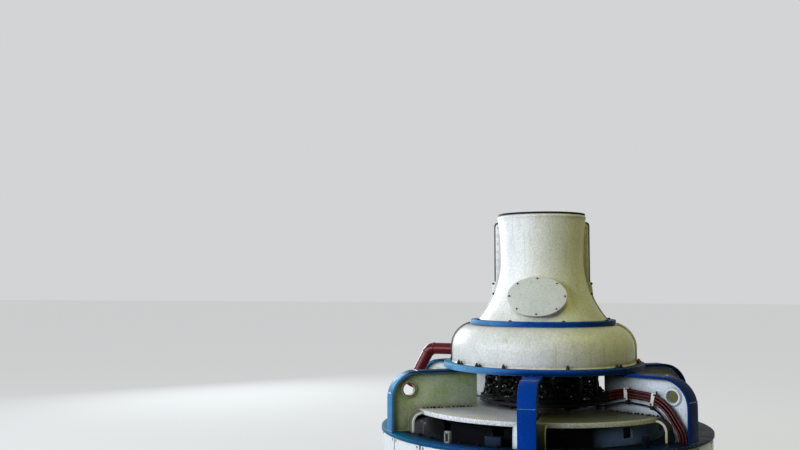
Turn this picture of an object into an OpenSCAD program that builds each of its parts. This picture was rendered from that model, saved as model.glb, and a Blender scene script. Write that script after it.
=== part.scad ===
// Top of a vertical hydroelectric generator: a panelled stator housing, six L-shaped
// spider arms round the brush gear, and a drum cover that carries the bell-shaped hood.
// Millimetres. +Z up, origin at the middle of the face that rests on the floor,
// -Y towards the front arm and the oval inspection cover.

/* [Stator housing] */
// Outer radius of the blue ring on top of the housing
housing_r = 1328; // [1300:2:1400]
// Height of the housing wall above the floor
housing_h = 372; // [300:2:460]
// Number of curved cladding panels
panel_count = 22; // [18:1:26]
// Thickness of a cladding panel
panel_t = 20; // [14:1:28]
// Open joint between two panels
panel_joint = 16; // [8:1:24]
// Turn of the first panel joint from the front arm, in degrees
panel_turn = 11.4; // [0:0.1:16]
// Overhang of the blue ring beyond the panels
ring_lip = 10; // [4:1:20]
// Thickness of the blue ring on top
top_ring_t = 25; // [16:1:36]
// Width of the blue ring that shows inside the feet of the legs
ring_land = 6; // [2:1:12]
// Thickness of the wall behind the panels
housing_wall = 20; // [14:1:30]
// Thickness of the sole ring on the floor
sole_t = 22; // [14:1:30]
// Width of the sole ring
sole_w = 70; // [50:2:100]
// Thickness of the inner deck plate
deck_t = 20; // [12:1:30]

/* [Spider arms] */
// Number of spider arms
arm_count = 6; // [6:1:6]
// Distance of the arms' outer face inside the edge of the blue ring
arm_in = 16; // [12:1:30]
// Height of the arms above the housing
arm_h = 468; // [420:2:520]
// Radius of the bent outer corner
arm_corner_r = 215; // [150:5:240]
// Width of the outer flange strip
arm_flange_w = 132; // [90:2:150]
// Thickness of the outer flange strip
arm_flange_t = 20; // [12:1:26]
// Thickness of the web plate
web_t = 28; // [18:1:36]
// Radius where the webs end towards the shaft
web_in_r = 585; // [550:5:640]
// Depth of the leg below the shelf
leg_depth = 162; // [150:2:175]
// Outer radius of the bend where the leg meets the shelf
leg_bend_r = 76; // [66:2:86]
// Rise of the bend's underside above the lower edge of the shelf's rim
leg_rise = 2; // [1:1:8]
// Width of the inner flange of the leg
leg_flange_w = 230; // [150:5:240]
// Thickness of the inner flange of the leg
leg_flange_t = 20; // [12:1:24]
// Radius of the lifting hole
hole_r = 47; // [36:1:54]
// Wall of the collar round the lifting hole
collar_wall = 22; // [12:1:26]
// How far the collar stands proud of the web on each side
collar_proud = 14; // [6:1:22]
// Distance of the lifting hole from the outer face
hole_in = 155; // [140:1:170]
// Distance of the lifting hole below the top of the arm
hole_down = 145; // [125:1:165]

/* [Shelf and inner barrel] */
// Height of the shelf rim above the housing
shelf_up = 136; // [120:2:180]
// Depth of the shelf rim
shelf_rim_h = 35; // [26:1:50]
// Thickness of the shelf plate
shelf_t = 16; // [10:1:22]
// Radius of the hole in the shelf
shelf_hole_r = 390; // [370:5:410]
// Distance of the barrel inside the shelf's edge
barrel_in = 124; // [90:2:180]
// Thickness of the barrel wall
barrel_t = 20; // [12:1:30]
// Number of windows in the barrel
barrel_windows = 12; // [6:6:18]
// Width of a barrel window
window_w = 90; // [60:5:140]
// Height of a barrel window
window_h = 84; // [60:2:90]

/* [Lower ring and drum cover] */
// Outer radius of the drum cover
drum_r = 738; // [715:1:755]
// Width of the lower blue ring outside the drum
lower_ring_land = 76; // [60:2:96]
// Width of the lower blue ring inside the drum's outer face
lower_ring_in = 138; // [110:2:148]
// Thickness of the lower blue ring
lower_ring_t = 46; // [34:1:60]
// Height of the drum cover
drum_h = 306; // [270:2:340]
// Radius of the rounded drum shoulder
drum_shoulder_r = 190; // [120:5:210]
// Wall of the drum cover
drum_wall = 14; // [8:1:20]
// How far the drum's joint flange stands out
drum_lip = 20; // [12:1:26]
// Turn of the drum's and the hood's joint out of the left-right plane, in degrees
joint_turn = 6; // [0:1:10]

/* [Upper ring and hood] */
// Radius of the hood at its foot
hood_foot_r = 520; // [510:1:535]
// Width of the upper blue ring outside the hood's foot
upper_ring_land = 72; // [60:1:80]
// Width of the upper blue ring inside the hood's outer face
upper_ring_in = 50; // [30:2:60]
// Thickness of the upper blue ring
upper_ring_t = 38; // [26:1:48]
// Radius of the hood at its waist
hood_waist_r = 340; // [326:2:350]
// Radius of the hood at its top
hood_top_r = 365; // [354:1:375]
// Height of the hood
hood_h = 853; // [780:5:920]
// Height of the waist above the foot
hood_waist_h = 490; // [460:5:540]
// Rounding of the hood's top edge
hood_edge_r = 24; // [14:1:34]
// Wall of the hood
hood_wall = 14; // [8:1:20]
// Thickness of one joint flange plate
joint_t = 18; // [10:1:24]
// Radius to the straight outer edge of the upper joint flange
joint_r = 392; // [386:1:402]
// Radius to the outer edge of the joint flange below the step
joint_step_r = 414; // [406:1:424]
// Height of the step in the joint flange above the foot
joint_low = 310; // [280:5:340]
// Distance of the joint flange below the top of the hood
joint_drop = 52; // [40:2:80]
// Rounding of the joint flange's upper corner
joint_corner_r = 30; // [15:1:40]
// Width of the joint flange along the flare
joint_lip = 12; // [8:1:20]
// Thickness of the top plate
cap_t = 14; // [8:1:24]
// How far the top plate is set in from the hood's edge
cap_in = 8; // [4:1:20]

/* [Oval inspection cover] */
// Width of the oval cover
oval_w = 466; // [420:2:480]
// Height of the oval cover
oval_h = 336; // [320:2:350]
// Thickness of the oval cover
oval_t = 16; // [10:1:24]
// Height of the oval's middle above the hood's foot
oval_up = 196; // [190:1:206]
// Wall of the oval seat
oval_wall = 14; // [10:1:20]
// Lean of the oval cover from upright, in degrees
oval_lean = 24; // [22:1:26]
// Distance of the cover's outer face from the axis at its middle
oval_out = 474; // [468:1:490]

/* [Brush gear] */
// Radius of the shaft
shaft_r = 170; // [140:5:200]
// Gap between the shaft and the deck plate
deck_gap = 40; // [20:5:80]
// Outer radius of the slip rings
slip_r = 330; // [310:5:345]
// Thickness of a slip ring
slip_t = 34; // [24:1:40]
// Clear gap between two slip rings
slip_gap = 26; // [20:1:30]
// Radial thickness of the sleeve between the slip rings
sleeve_t = 70; // [40:5:100]
// Number of brush studs
stud_count = 12; // [8:2:14]
// Radius of the circle of brush studs
stud_circle_r = 440; // [432:2:460]
// Radius of a brush stud
stud_r = 13; // [8:1:18]
// Thickness of the ring that ties the studs together
tie_t = 16; // [10:1:18]
// Width of the rocker ring inside the circle of studs
rocker_in = 45; // [35:1:48]
// Width of the rocker ring outside the circle of studs
rocker_out = 78; // [60:2:84]
// Thickness of the rocker ring
rocker_t = 24; // [16:1:30]
// Height of the rocker ring above the shelf
rocker_up = 30; // [20:2:36]
// Radius of a foot of the rocker ring
rocker_foot_r = 18; // [12:1:24]
// Tangential width of a brush box
brush_w = 64; // [40:2:76]
// Running gap between a brush box and its slip ring
brush_gap = 0.3; // [0.2:0.1:2]

/* [Pipes on the right arm] */
// Outer radius of an oil pipe
oil_r = 11; // [9:0.5:11]
// Spacing of the three oil pipes
oil_pitch = 24; // [24:0.5:27]
// Height of the middle oil pipe above the shelf where it starts
oil_up = 92; // [88:1:98]
// Slope of the oil pipes where they start, in degrees
oil_slope = 14.5; // [12:0.5:16]
// Slanting start of the oil pipes, as a share of their reach
oil_slant_share = 0.265; // [0.24:0.005:0.28]
// Bend radius at the crest of the oil pipes, as a share of their reach
oil_crest_share = 0.555; // [0.5:0.005:0.6]
// Turn at the crest, in degrees
oil_crest = 19; // [17:0.5:21]
// Bend radius where the oil pipes start to drop, as a share of their reach
oil_drop_share = 0.4; // [0.38:0.005:0.42]
// Turn where the oil pipes start to drop, in degrees
oil_drop = 52; // [50:0.5:54]
// Bend radius where the oil pipes meet the leg, as a share of their reach
oil_foot_share = 0.21; // [0.19:0.005:0.22]
// Upright length of the oil pipes above the blue ring
oil_foot = 16; // [12:1:24]
// Gap between the oil pipes and the outer flange strip
oil_gap = 5; // [3:1:8]
// Outer radius of the cable conduit
conduit_r = 7; // [5:0.5:9]
// Distance of the conduit below the middle oil pipe
conduit_down = 68; // [58:1:74]
// Gap between the web and the pipes
pipe_gap = 29; // [16:1:34]
// Gap between the rocker ring and the start of the pipes
pipe_in_gap = 16; // [8:2:24]
// Width of a pipe clamp
clamp_w = 32; // [20:1:44]
// Thickness of a clamp plate
clamp_t = 6; // [4:0.5:10]

/* [Air pipe behind the drum] */
// Outer radius of the air pipe
air_r = 48; // [42:1:52]
// Wall of the air pipe
air_wall = 8; // [5:0.5:12]
// Height of the air pipe's underside above the lower ring
air_up = 34; // [30:1:44]
// Bend radius of the air pipe's elbow
air_bend_r = 62; // [60:1:80]
// Distance from the drum to the middle of the air pipe's elbow
air_run = 234; // [210:2:250]
// Turn of the air pipe's elbow, in degrees
air_drop = 62; // [55:1:66]
// Length of the air pipe beyond its elbow
air_tail = 300; // [260:5:310]
// Radius of the flange on the end of the air pipe
air_flange_r = 84; // [80:1:92]
// Thickness of the air pipe's flange and of its seat on the drum
air_flange_t = 18; // [12:1:24]
// Radius of a bolt hole in the end flange
air_bolt_r = 8; // [6:0.5:9]
// Turn of the air pipe from the front arm, in degrees
air_turn = -95; // [-102:1:-85]

/* [Small fittings on the deck] */
// Distance of the fittings on the blue ring inside its edge
ring_fitting_in = 128; // [100:2:150]
// Gap between the fittings on the deck and the blue ring
deck_fitting_gap = 42; // [20:2:60]
// Turn of the slotted terminal box from the front arm, in degrees
slotted_box_turn = -29.3; // [-34:0.1:-26]
// Turn of the wide terminal box from the front arm, in degrees
wide_box_turn = -14.5; // [-20:0.1:-10]
// Turn of the dark terminal box from the front arm, in degrees
dark_box_turn = 40.9; // [36:0.1:46]
// Turn of the tee bracket from the front arm, in degrees
tee_turn = -57; // [-60:0.1:-44]
// Width of the slotted terminal box
box_w = 50; // [40:1:60]
// Height of the slotted terminal box
box_h = 86; // [70:1:100]
// Width of the wide terminal box
wide_box_w = 128; // [100:2:150]
// Height of the wide terminal box
wide_box_h = 80; // [60:1:100]
// Depth of the terminal boxes
box_d = 60; // [40:1:70]
// Height of the tee bracket
tee_h = 100; // [80:1:120]
// Width of the tee bracket's head
tee_w = 112; // [90:2:130]
// Width of the tee bracket's bars
tee_bar = 16; // [10:1:24]

/* [Hidden] */

round_fn = 144;
small_fn = 48;
pipe_fn = 24;
weld_w = 6;
weld_up = 0.8;
weld_gap = 1;
arc_steps = 24;
eps = 0.01;

deck_z = housing_h;
base_top = housing_h + top_ring_t;
panel_r = housing_r - ring_lip;
panel_clear = 3;
panel_step = 360 / panel_count;
joint_angle = atan(panel_joint / 2 / panel_r);
wall_r = panel_r - panel_t;

shelf_low = base_top + shelf_up;
shelf_top = shelf_low + shelf_rim_h;
arm_top = base_top + arm_h;
arm_r = housing_r - arm_in;
web_out_r = arm_r - arm_flange_t;
web_top = arm_top - arm_flange_t;
leg_r = arm_r - leg_depth;
top_ring_in_r = leg_r - leg_flange_t - ring_land;
shelf_r = leg_r - leg_bend_r;
barrel_r = shelf_r - barrel_in;
leg_bend_z = shelf_low + leg_flange_t + leg_rise - leg_bend_r;
hole_at = [arm_r - hole_in, arm_top - hole_down];
arm_step = 360 / arm_count;
front = -90;
front_right = front + arm_step;
back_right = front_right + arm_step;
back = back_right + arm_step;
front_left = front - arm_step;
back_left = front_left - arm_step;

lower_ring_r = drum_r + lower_ring_land;
lower_ring_hole_r = drum_r - lower_ring_in;
upper_ring_r = hood_foot_r + upper_ring_land;
upper_ring_hole_r = hood_foot_r - upper_ring_in;
drum_z = arm_top + lower_ring_t;
drum_top = drum_z + drum_h;
hood_z = drum_top + upper_ring_t;
hood_top = hood_z + hood_h;

oval_sides = 72;
oval_reach = 260;

rocker_top = shelf_top + rocker_up + rocker_t;
rocker_r = stud_circle_r + rocker_out;
slip_count = 3;
stud_h = slip_count * (slip_t + slip_gap) + slip_gap;
function slip_z(i) = rocker_top + slip_gap + i * (slip_t + slip_gap);

// The oil pipes climb at a slant, level off at a crest, drop along the web and run down
// the leg; each leg is [length, bend in degrees, bend radius]
pipe_in_r = rocker_r + pipe_in_gap;
oil_out_r = web_out_r - oil_gap - oil_r - oil_pitch;
crest_slope = oil_slope - oil_crest;
drop_slope = crest_slope - oil_drop;
oil_reach = oil_out_r - pipe_in_r;
oil_bends = [[oil_slant_share * oil_reach, -oil_crest, oil_crest_share * oil_reach],
    [0, -oil_drop, oil_drop_share * oil_reach], [0, -90 - drop_slope, oil_foot_share * oil_reach]];
oil_span = [oil_reach, base_top + oil_foot - shelf_top - oil_up]
    - reach(oil_bends, oil_slope);
oil_level = (oil_span[0] * sin(drop_slope) - oil_span[1] * cos(drop_slope)) / sin(-oil_drop);
oil_fall = (oil_span[1] * cos(crest_slope) - oil_span[0] * sin(crest_slope)) / sin(-oil_drop);
oil_legs = [oil_bends[0], oil_bends[1] + [oil_level, 0, 0], oil_bends[2] + [oil_fall, 0, 0],
    [oil_foot, 0, 0]];
// Places of the clamps, as [leg, share of the bend at its end]
clamp_places = [[0, 0.6], [1, 0.2]];

air_legs = [[drum_r + air_run - air_bend_r * tan(air_drop / 2), -air_drop, air_bend_r],
    [air_tail, 0, 0]];
air_end = reach([air_legs[0]], 0) + air_tail * [cos(air_drop), -sin(air_drop)];
air_bore_h = 0.7 * air_tail;
air_collar_r = air_r + air_flange_t;
air_bolts = 8;
air_pcd_r = (air_r + air_flange_r) / 2;

ring_fitting_r = housing_r - ring_fitting_in;
deck_fitting_r = top_ring_in_r - deck_fitting_gap - box_d / 2;

function arc(c, r, from, to, steps = arc_steps) =
    [for (i = [0 : steps]) c + r * [cos(from + (to - from) * i / steps),
                                    sin(from + (to - from) * i / steps)]];

module ring(r_out, r_in, z, h, fn = round_fn) {
    translate([0, 0, z])
    linear_extrude(height = h)
    difference() {
        circle(r = r_out, $fn = fn);
        circle(r = r_in, $fn = fn);
    }
}

// Stands an (r, z) outline upright along +X, centred on the plane of the arm
module upright(width) {
    translate([0, width / 2, 0])
    rotate([90, 0, 0])
    linear_extrude(height = width)
    children();
}

module sole_ring() {
    color("#3a3d40")
    ring(panel_r, panel_r - sole_w, 0, sole_t);
}

module housing_wall() {
    color("#2b2f33")
    ring(wall_r, wall_r - housing_wall, sole_t, housing_h - deck_t - sole_t);
}

// Cladding panels with an open joint between neighbours
module housing_panels() {
    low = sole_t + panel_clear;
    color("#dfe2da")
    for (i = [0 : panel_count - 1])
        rotate([0, 0, front + panel_turn + i * panel_step + joint_angle])
        rotate_extrude(angle = panel_step - 2 * joint_angle, $fn = round_fn)
        translate([wall_r, low])
        square([panel_t, housing_h - panel_clear - low]);
}

module housing_top_ring() {
    color("#1552a6")
    ring(housing_r, top_ring_in_r, housing_h, top_ring_t);
}

module deck_plate() {
    color("#1b3f78")
    ring(wall_r, shaft_r + deck_gap, housing_h - deck_t, deck_t);
}

// Barrel that carries the shelf, with a row of windows
module inner_barrel() {
    barrel_h = shelf_top - shelf_t - deck_z;
    color("#12408a")
    difference() {
        ring(barrel_r, barrel_r - barrel_t, deck_z, barrel_h);
        for (i = [0 : barrel_windows - 1])
            rotate([0, 0, front + (i + 0.5) * 360 / barrel_windows])
            translate([barrel_r - 2 * barrel_t, -window_w / 2, deck_z + (barrel_h - window_h) / 2])
            cube([3 * barrel_t, window_w, window_h]);
    }
}

// Annular shelf with a turned-down rim
module shelf_disc() {
    color("#cfd0bd")
    rotate_extrude($fn = round_fn)
    polygon([
        [shelf_hole_r, shelf_top], [shelf_r, shelf_top], [shelf_r, shelf_low],
        [shelf_r - shelf_t, shelf_low], [shelf_r - shelf_t, shelf_top - shelf_t],
        [shelf_hole_r, shelf_top - shelf_t]]);
}

// Web plate of one arm: over the shelf, round its rim and down the leg
module web_outline() {
    polygon(concat(
        [[web_in_r, shelf_top], [shelf_r, shelf_top]],
        arc([shelf_r, leg_bend_z], leg_bend_r, 90, 0),
        [[leg_r, base_top], [web_out_r, base_top]],
        arc([arm_r - arm_corner_r, arm_top - arm_corner_r], arm_corner_r - arm_flange_t, 0, 90),
        [[web_in_r, web_top]]));
}

module arm_web(turn) {
    color("#c9ccb4")
    rotate([0, 0, turn])
    difference() {
        union() {
            upright(web_t) web_outline();
            translate([hole_at[0], 0, hole_at[1]])
            rotate([90, 0, 0])
            cylinder(r = hole_r + collar_wall, h = web_t + 2 * collar_proud, center = true,
                     $fn = small_fn);
        }
        translate([hole_at[0], 0, hole_at[1]])
        rotate([90, 0, 0])
        cylinder(r = hole_r, h = 2 * (web_t + collar_proud), center = true, $fn = small_fn);
    }
}

// Flange strip over the top of the arm, round the corner and down to the housing
module arm_flange(turn) {
    centre = [arm_r - arm_corner_r, arm_top - arm_corner_r];
    color("#0f4ba3")
    rotate([0, 0, turn])
    upright(arm_flange_w)
    polygon(concat(
        [[web_in_r, arm_top]],
        arc(centre, arm_corner_r, 90, 0),
        [[arm_r, base_top], [web_out_r, base_top]],
        arc(centre, arm_corner_r - arm_flange_t, 0, 90),
        [[web_in_r, web_top]]));
}

// Inner flanges of the legs, each bent at the top to meet the shelf's rim
module leg_flanges() {
    centre = [shelf_r, leg_bend_z];
    color("#e4e6de")
    for (i = [0 : arm_count - 1])
        rotate([0, 0, front + i * arm_step])
        difference() {
            upright(leg_flange_w)
            polygon(concat(
                [[shelf_r - leg_flange_t, leg_bend_z + leg_bend_r]],
                arc(centre, leg_bend_r, 90, 0),
                [[leg_r, base_top], [leg_r - leg_flange_t, base_top]],
                arc(centre, leg_bend_r - leg_flange_t, 0, 90),
                [[shelf_r - leg_flange_t, leg_bend_z + leg_bend_r - leg_flange_t]]));
            cylinder(r = shelf_r, h = hood_z, $fn = round_fn);
        }
}

module lower_ring() {
    color("#1552a6")
    ring(lower_ring_r, lower_ring_hole_r, arm_top, lower_ring_t);
}

// Drum cover outline: upright side, rounded shoulder, flat top
module drum_outline(grow = 0) {
    c = [drum_r - drum_shoulder_r, drum_h - drum_shoulder_r];
    polygon(concat(
        [[upper_ring_hole_r, 0], [drum_r + grow, 0]],
        arc(c, drum_shoulder_r + grow, 0, 90),
        [[upper_ring_hole_r, drum_h + grow]]));
}

module drum_shell() {
    difference() {
        drum_outline();
        translate([-eps, -eps]) drum_outline(-drum_wall);
    }
}

// One half of the drum with its bolted joint flanges
module drum_half() {
    translate([0, 0, drum_z]) {
        rotate_extrude(angle = 180, $fn = round_fn) drum_shell();
        for (side = [0, 1])
            mirror([side, 0, 0])
            translate([0, joint_t, 0])
            rotate([90, 0, 0])
            linear_extrude(height = joint_t)
            difference() {
                drum_outline(drum_lip);
                drum_outline(-drum_wall / 2);
                translate([0, drum_h])
                square([drum_r, 2 * drum_lip]);
            }
    }
}

module drum_back_half() {
    color("#e3e5dd")
    rotate([0, 0, joint_turn])
    drum_half();
}

module drum_front_half() {
    color("#e3e5dd")
    rotate([0, 0, joint_turn])
    mirror([0, 1, 0])
    drum_half();
}

module upper_ring() {
    color("#1552a6")
    ring(upper_ring_r, upper_ring_hole_r, drum_top, upper_ring_t);
}

// Hood outline: a flare of one arc up to the waist, then a slight widening to the top
function side_arc(r0, h0, bow, rise, way, steps) =
    let (rad = (rise * rise + bow * bow) / (2 * bow))
    [for (i = [0 : steps]) let (d = rise * i / steps)
        [r0 + rad - sqrt(rad * rad - d * d), h0 + way * d]];

flare = side_arc(hood_waist_r, hood_waist_h, hood_foot_r - hood_waist_r, hood_waist_h, -1,
                 arc_steps);
widening = side_arc(hood_waist_r, hood_waist_h, hood_top_r - hood_waist_r,
                    hood_h - hood_waist_h, 1, arc_steps / 2);
function reversed(list) = [for (i = [len(list) - 1 : -1 : 0]) list[i]];
function moved(list, by) = [for (p = list) p + by];

module hood_outline(grow = 0) {
    polygon(concat(
        [[0, 0]],
        moved(reversed(flare), [grow, 0]),
        moved(widening, [grow, 0]),
        [[0, hood_h]]));
}

module hood_solid_outline() {
    intersection() {
        hood_outline();
        union() {
            square([2 * hood_foot_r, hood_h - hood_edge_r]);
            translate([0, hood_h - hood_edge_r])
            square([hood_top_r - hood_edge_r, hood_edge_r]);
            translate([hood_top_r - hood_edge_r, hood_h - hood_edge_r])
            circle(r = hood_edge_r, $fn = small_fn);
        }
    }
}

module hood_shell() {
    difference() {
        hood_solid_outline();
        translate([0, -eps])
        intersection() {
            hood_outline(-hood_wall);
            square([2 * hood_foot_r, hood_h - hood_wall]);
        }
    }
}

// Joint flange of the hood: a straight edge above, a step, then a narrow lip along the flare
module joint_outline() {
    edge = hood_h - joint_drop - joint_corner_r;
    difference() {
        union() {
            translate([0, joint_low]) square([joint_r, edge - joint_low]);
            square([joint_step_r, joint_low]);
            translate([0, edge]) square([joint_r - joint_corner_r, joint_corner_r]);
            translate([joint_r - joint_corner_r, edge])
            circle(r = joint_corner_r, $fn = small_fn);
            intersection() {
                hood_outline(joint_lip);
                square([2 * hood_foot_r, joint_low]);
            }
        }
        hood_outline(-hood_wall / 2);
    }
}

module hood_half() {
    translate([0, 0, hood_z]) {
        rotate_extrude(angle = 180, $fn = round_fn) hood_shell();
        for (side = [0, 1])
            mirror([side, 0, 0])
            translate([0, joint_t, 0])
            rotate([90, 0, 0])
            linear_extrude(height = joint_t)
            joint_outline();
    }
}

module hood_back_half() {
    color("#e6e8e0")
    rotate([0, 0, joint_turn])
    hood_half();
}

module hood_front_half() {
    color("#e6e8e0")
    rotate([0, 0, joint_turn])
    mirror([0, 1, 0])
    hood_half();
}

module hood_cap() {
    color("#20262c")
    translate([0, 0, hood_top])
    cylinder(r = hood_top_r - cap_in, h = cap_t, $fn = round_fn);
}

// Local +Z of the oval parts points out of the cover's face
module oval_place() {
    translate([0, -oval_out, hood_z + oval_up])
    rotate([90 - oval_lean, 0, 0])
    children();
}

module oval(trim) {
    polygon([for (i = [0 : oval_sides - 1]) let (a = i * 360 / oval_sides)
        [(oval_w / 2 - trim) * cos(a), (oval_h / 2 - trim) * sin(a)]]);
}

// Oval neck between the cover and the flare of the hood
module oval_seat() {
    color("#d9dcd0")
    difference() {
        oval_place()
        translate([0, 0, -oval_t - oval_reach])
        linear_extrude(height = oval_reach)
        difference() {
            oval(0);
            oval(oval_wall);
        }
        translate([0, 0, hood_z])
        rotate_extrude($fn = round_fn) hood_outline();
        translate([0, 0, hood_z - oval_reach])
        cylinder(r = hood_foot_r, h = oval_reach + eps, $fn = round_fn);
    }
}

module oval_cover() {
    color("#c3c8c0")
    oval_place()
    translate([0, 0, -oval_t])
    linear_extrude(height = oval_t)
    oval(0);
}

module shaft() {
    color("#55595c")
    cylinder(r = shaft_r, h = drum_z, $fn = round_fn);
}

// Slip rings on one sleeve that sits on the shaft
module slip_rings() {
    color("#6b5a3c") {
        for (i = [0 : slip_count - 1])
            ring(slip_r, shaft_r, slip_z(i), slip_t);
        ring(shaft_r + sleeve_t, shaft_r, rocker_top, slip_z(slip_count) - rocker_top);
    }
}

// Rocker ring on feet that stand on the shelf
module rocker_ring() {
    color("#1f2124") {
        ring(rocker_r, stud_circle_r - rocker_in, shelf_top + rocker_up, rocker_t);
        for (i = [0 : arm_count - 1])
            rotate([0, 0, i * arm_step])
            translate([stud_circle_r, 0, shelf_top])
            cylinder(r = rocker_foot_r, h = rocker_up + rocker_t, $fn = small_fn);
    }
}

// Places children at each stud of the brush gear
module at_studs() {
    for (i = [0 : stud_count - 1])
        rotate([0, 0, (i + 0.5) * 360 / stud_count])
        children();
}

// Upright studs on the rocker ring
module brush_studs() {
    color("#3b3a36")
    at_studs()
    translate([stud_circle_r, 0, rocker_top])
    cylinder(r = stud_r, h = stud_h, $fn = small_fn);
}

// Flat ring that ties the tops of the studs together
module stud_tie_ring() {
    color("#3b3a36")
    ring(stud_circle_r + 2 * stud_r, stud_circle_r - 2 * stud_r, rocker_top + stud_h, tie_t);
}

// One box of brushes for each stud and slip ring
module brush_boxes() {
    box_in = slip_r + brush_gap;
    color("#2a2b2d")
    at_studs()
        for (k = [0 : slip_count - 1])
            difference() {
                translate([box_in, -brush_w / 2, slip_z(k)])
                cube([stud_circle_r - box_in, brush_w, slip_t]);
                translate([stud_circle_r, 0, rocker_top])
                cylinder(r = stud_r, h = stud_h, $fn = small_fn);
            }
}

// A pipe of straight legs and bends in the X-Y plane, from the origin along +X.
// Each leg is [length, bend in degrees, bend radius]; shift moves the pipe to its left.
module pipe_run(r, legs, shift = 0, i = 0) {
    length = legs[i][0];
    turn = legs[i][1];
    side = sign(turn);
    bend = legs[i][2] - side * shift;
    last = i == len(legs) - 1;
    rotate([0, 90, 0]) cylinder(r = r, h = last ? length : length - weld_gap, $fn = pipe_fn);
    if (!last) {
        translate([length, 0, 0]) bend_weld(r);
        translate([length, side * bend, 0]) {
            rotate([0, 0, side > 0 ? -90 : 90 + turn])
            rotate_extrude(angle = abs(turn), $fn = 2 * pipe_fn)
            translate([bend, 0])
            circle(r = r, $fn = pipe_fn);
            rotate([0, 0, turn])
            translate([0, -side * bend, 0]) {
                bend_weld(r);
                translate([weld_gap, 0, 0])
                pipe_run(r, shortened(legs, i + 1), shift, i + 1);
            }
        }
    }
}

// Raised weld that joins a leg to a bend
module bend_weld(r) {
    translate([-weld_w / 2, 0, 0])
    rotate([0, 90, 0])
    cylinder(r = r + weld_up, h = weld_w, $fn = pipe_fn);
}

function shortened(legs, i) =
    [for (k = [0 : len(legs) - 1]) k == i ? legs[k] - [weld_gap, 0, 0] : legs[k]];

// How far a run of legs reaches, as [along, up], from a heading in degrees
function reach(legs, heading, i = 0) =
    i == len(legs) ? [0, 0] :
    let (side = sign(legs[i][1]), next = heading + legs[i][1])
    legs[i][0] * [cos(heading), sin(heading)]
    + side * legs[i][2] * [sin(next) - sin(heading), cos(heading) - cos(next)]
    + reach(legs, next, i + 1);

// Places children in the plane of the pipes, on the near face of the front right arm
module pipe_plane() {
    rotate([0, 0, front_right])
    translate([0, -web_t / 2 - pipe_gap - oil_r, 0])
    rotate([90, 0, 0])
    children();
}

module on_pipe_start() {
    translate([pipe_in_r, shelf_top + oil_up, 0])
    rotate([0, 0, oil_slope])
    children();
}

module oil_pipes() {
    color("#5a1616")
    pipe_plane()
    on_pipe_start()
    for (k = [-1 : 1])
        translate([0, k * oil_pitch, 0])
        pipe_run(oil_r, oil_legs, k * oil_pitch);
}

module cable_conduit() {
    color("#17181a")
    pipe_plane()
    on_pipe_start()
    translate([0, -conduit_down, 0])
    pipe_run(conduit_r, oil_legs, -conduit_down);
}

// The legs up to and with a share of the bend at the end of leg i
function up_to(i, share) =
    [for (k = [0 : i]) k < i ? oil_legs[k] : [oil_legs[k][0], share * oil_legs[k][1], oil_legs[k][2]]];

function turned(legs, i = 0) = i == len(legs) ? 0 : legs[i][1] + turned(legs, i + 1);

// Clamp of two plates and a spacer block, held by a stud above and below the pipes
module pipe_clamp() {
    high = oil_pitch + oil_r + clamp_w / 4;
    low = conduit_down + conduit_r + clamp_w / 2;
    for (z = [oil_r, -oil_r - clamp_t])
        translate([-clamp_w / 2, -low, z])
        cube([clamp_w, low + high, clamp_t]);
    translate([-clamp_w / 2, -low, -oil_r - pipe_gap])
    cube([clamp_w, low + high, pipe_gap - clamp_t]);
    translate([0, -low + clamp_w / 4, -oil_r - clamp_t])
    cylinder(r = clamp_w / 8, h = 2 * oil_r + 3 * clamp_t, $fn = small_fn);
}

module pipe_clamps() {
    color("#e8e8e2")
    pipe_plane()
    on_pipe_start()
    for (place = clamp_places) {
        legs = up_to(place[0], place[1]);
        translate(reach(legs, 0))
        rotate([0, 0, turned(legs)])
        pipe_clamp();
    }
}

// Air pipe from the drum, with an elbow down to a flanged end
module air_place() {
    rotate([0, 0, front + air_turn])
    translate([0, 0, drum_z + air_up + air_r])
    rotate([90, 0, 0])
    children();
}

module on_air_end() {
    air_place()
    translate(air_end)
    rotate([0, 0, -air_drop])
    rotate([0, 90, 0])
    children();
}

module air_pipe() {
    color("#7a1f22")
    difference() {
        air_place() {
            pipe_run(air_r, air_legs);
            rotate([0, 90, 0])
            cylinder(r = air_collar_r, h = drum_r + air_flange_t, $fn = small_fn);
        }
        on_air_end()
        translate([0, 0, -air_bore_h])
        cylinder(r = air_r - air_wall, h = air_bore_h + 1, $fn = small_fn);
        cylinder(r = drum_r, h = hood_z, $fn = round_fn);
    }
}

module air_pipe_flange() {
    color("#7a1f22")
    on_air_end()
    difference() {
        cylinder(r = air_flange_r, h = air_flange_t, $fn = round_fn);
        translate([0, 0, -1])
        cylinder(r = air_r - air_wall, h = air_flange_t + 2, $fn = small_fn);
        for (i = [0 : air_bolts - 1])
            rotate([0, 0, i * 360 / air_bolts])
            translate([air_pcd_r, 0, -1])
            cylinder(r = air_bolt_r, h = air_flange_t + 2, $fn = small_fn);
    }
}

// Stands children at a radius and a turn from the front arm, facing outwards along +X
module fitted(radius, turn, z) {
    rotate([0, 0, front + turn])
    translate([radius, 0, z])
    children();
}

module box(w, h) {
    translate([-box_d / 2, -w / 2, 0])
    cube([box_d, w, h]);
}

// Narrow box with an open slot in its outer face
module slotted_box() {
    slot_d = box_d / 4;
    color("#8c9092")
    fitted(ring_fitting_r, slotted_box_turn, base_top)
    difference() {
        box(box_w, box_h);
        translate([box_d / 2 - slot_d, -box_w / 6, box_h / 4])
        cube([slot_d + 1, box_w / 3, box_h / 2]);
    }
}

module wide_box() {
    color("#3c4a58")
    fitted(deck_fitting_r, wide_box_turn, deck_z)
    box(wide_box_w, wide_box_h);
}

module dark_box() {
    color("#15171a")
    fitted(ring_fitting_r, dark_box_turn, base_top)
    box(box_w, box_h);
}

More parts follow.
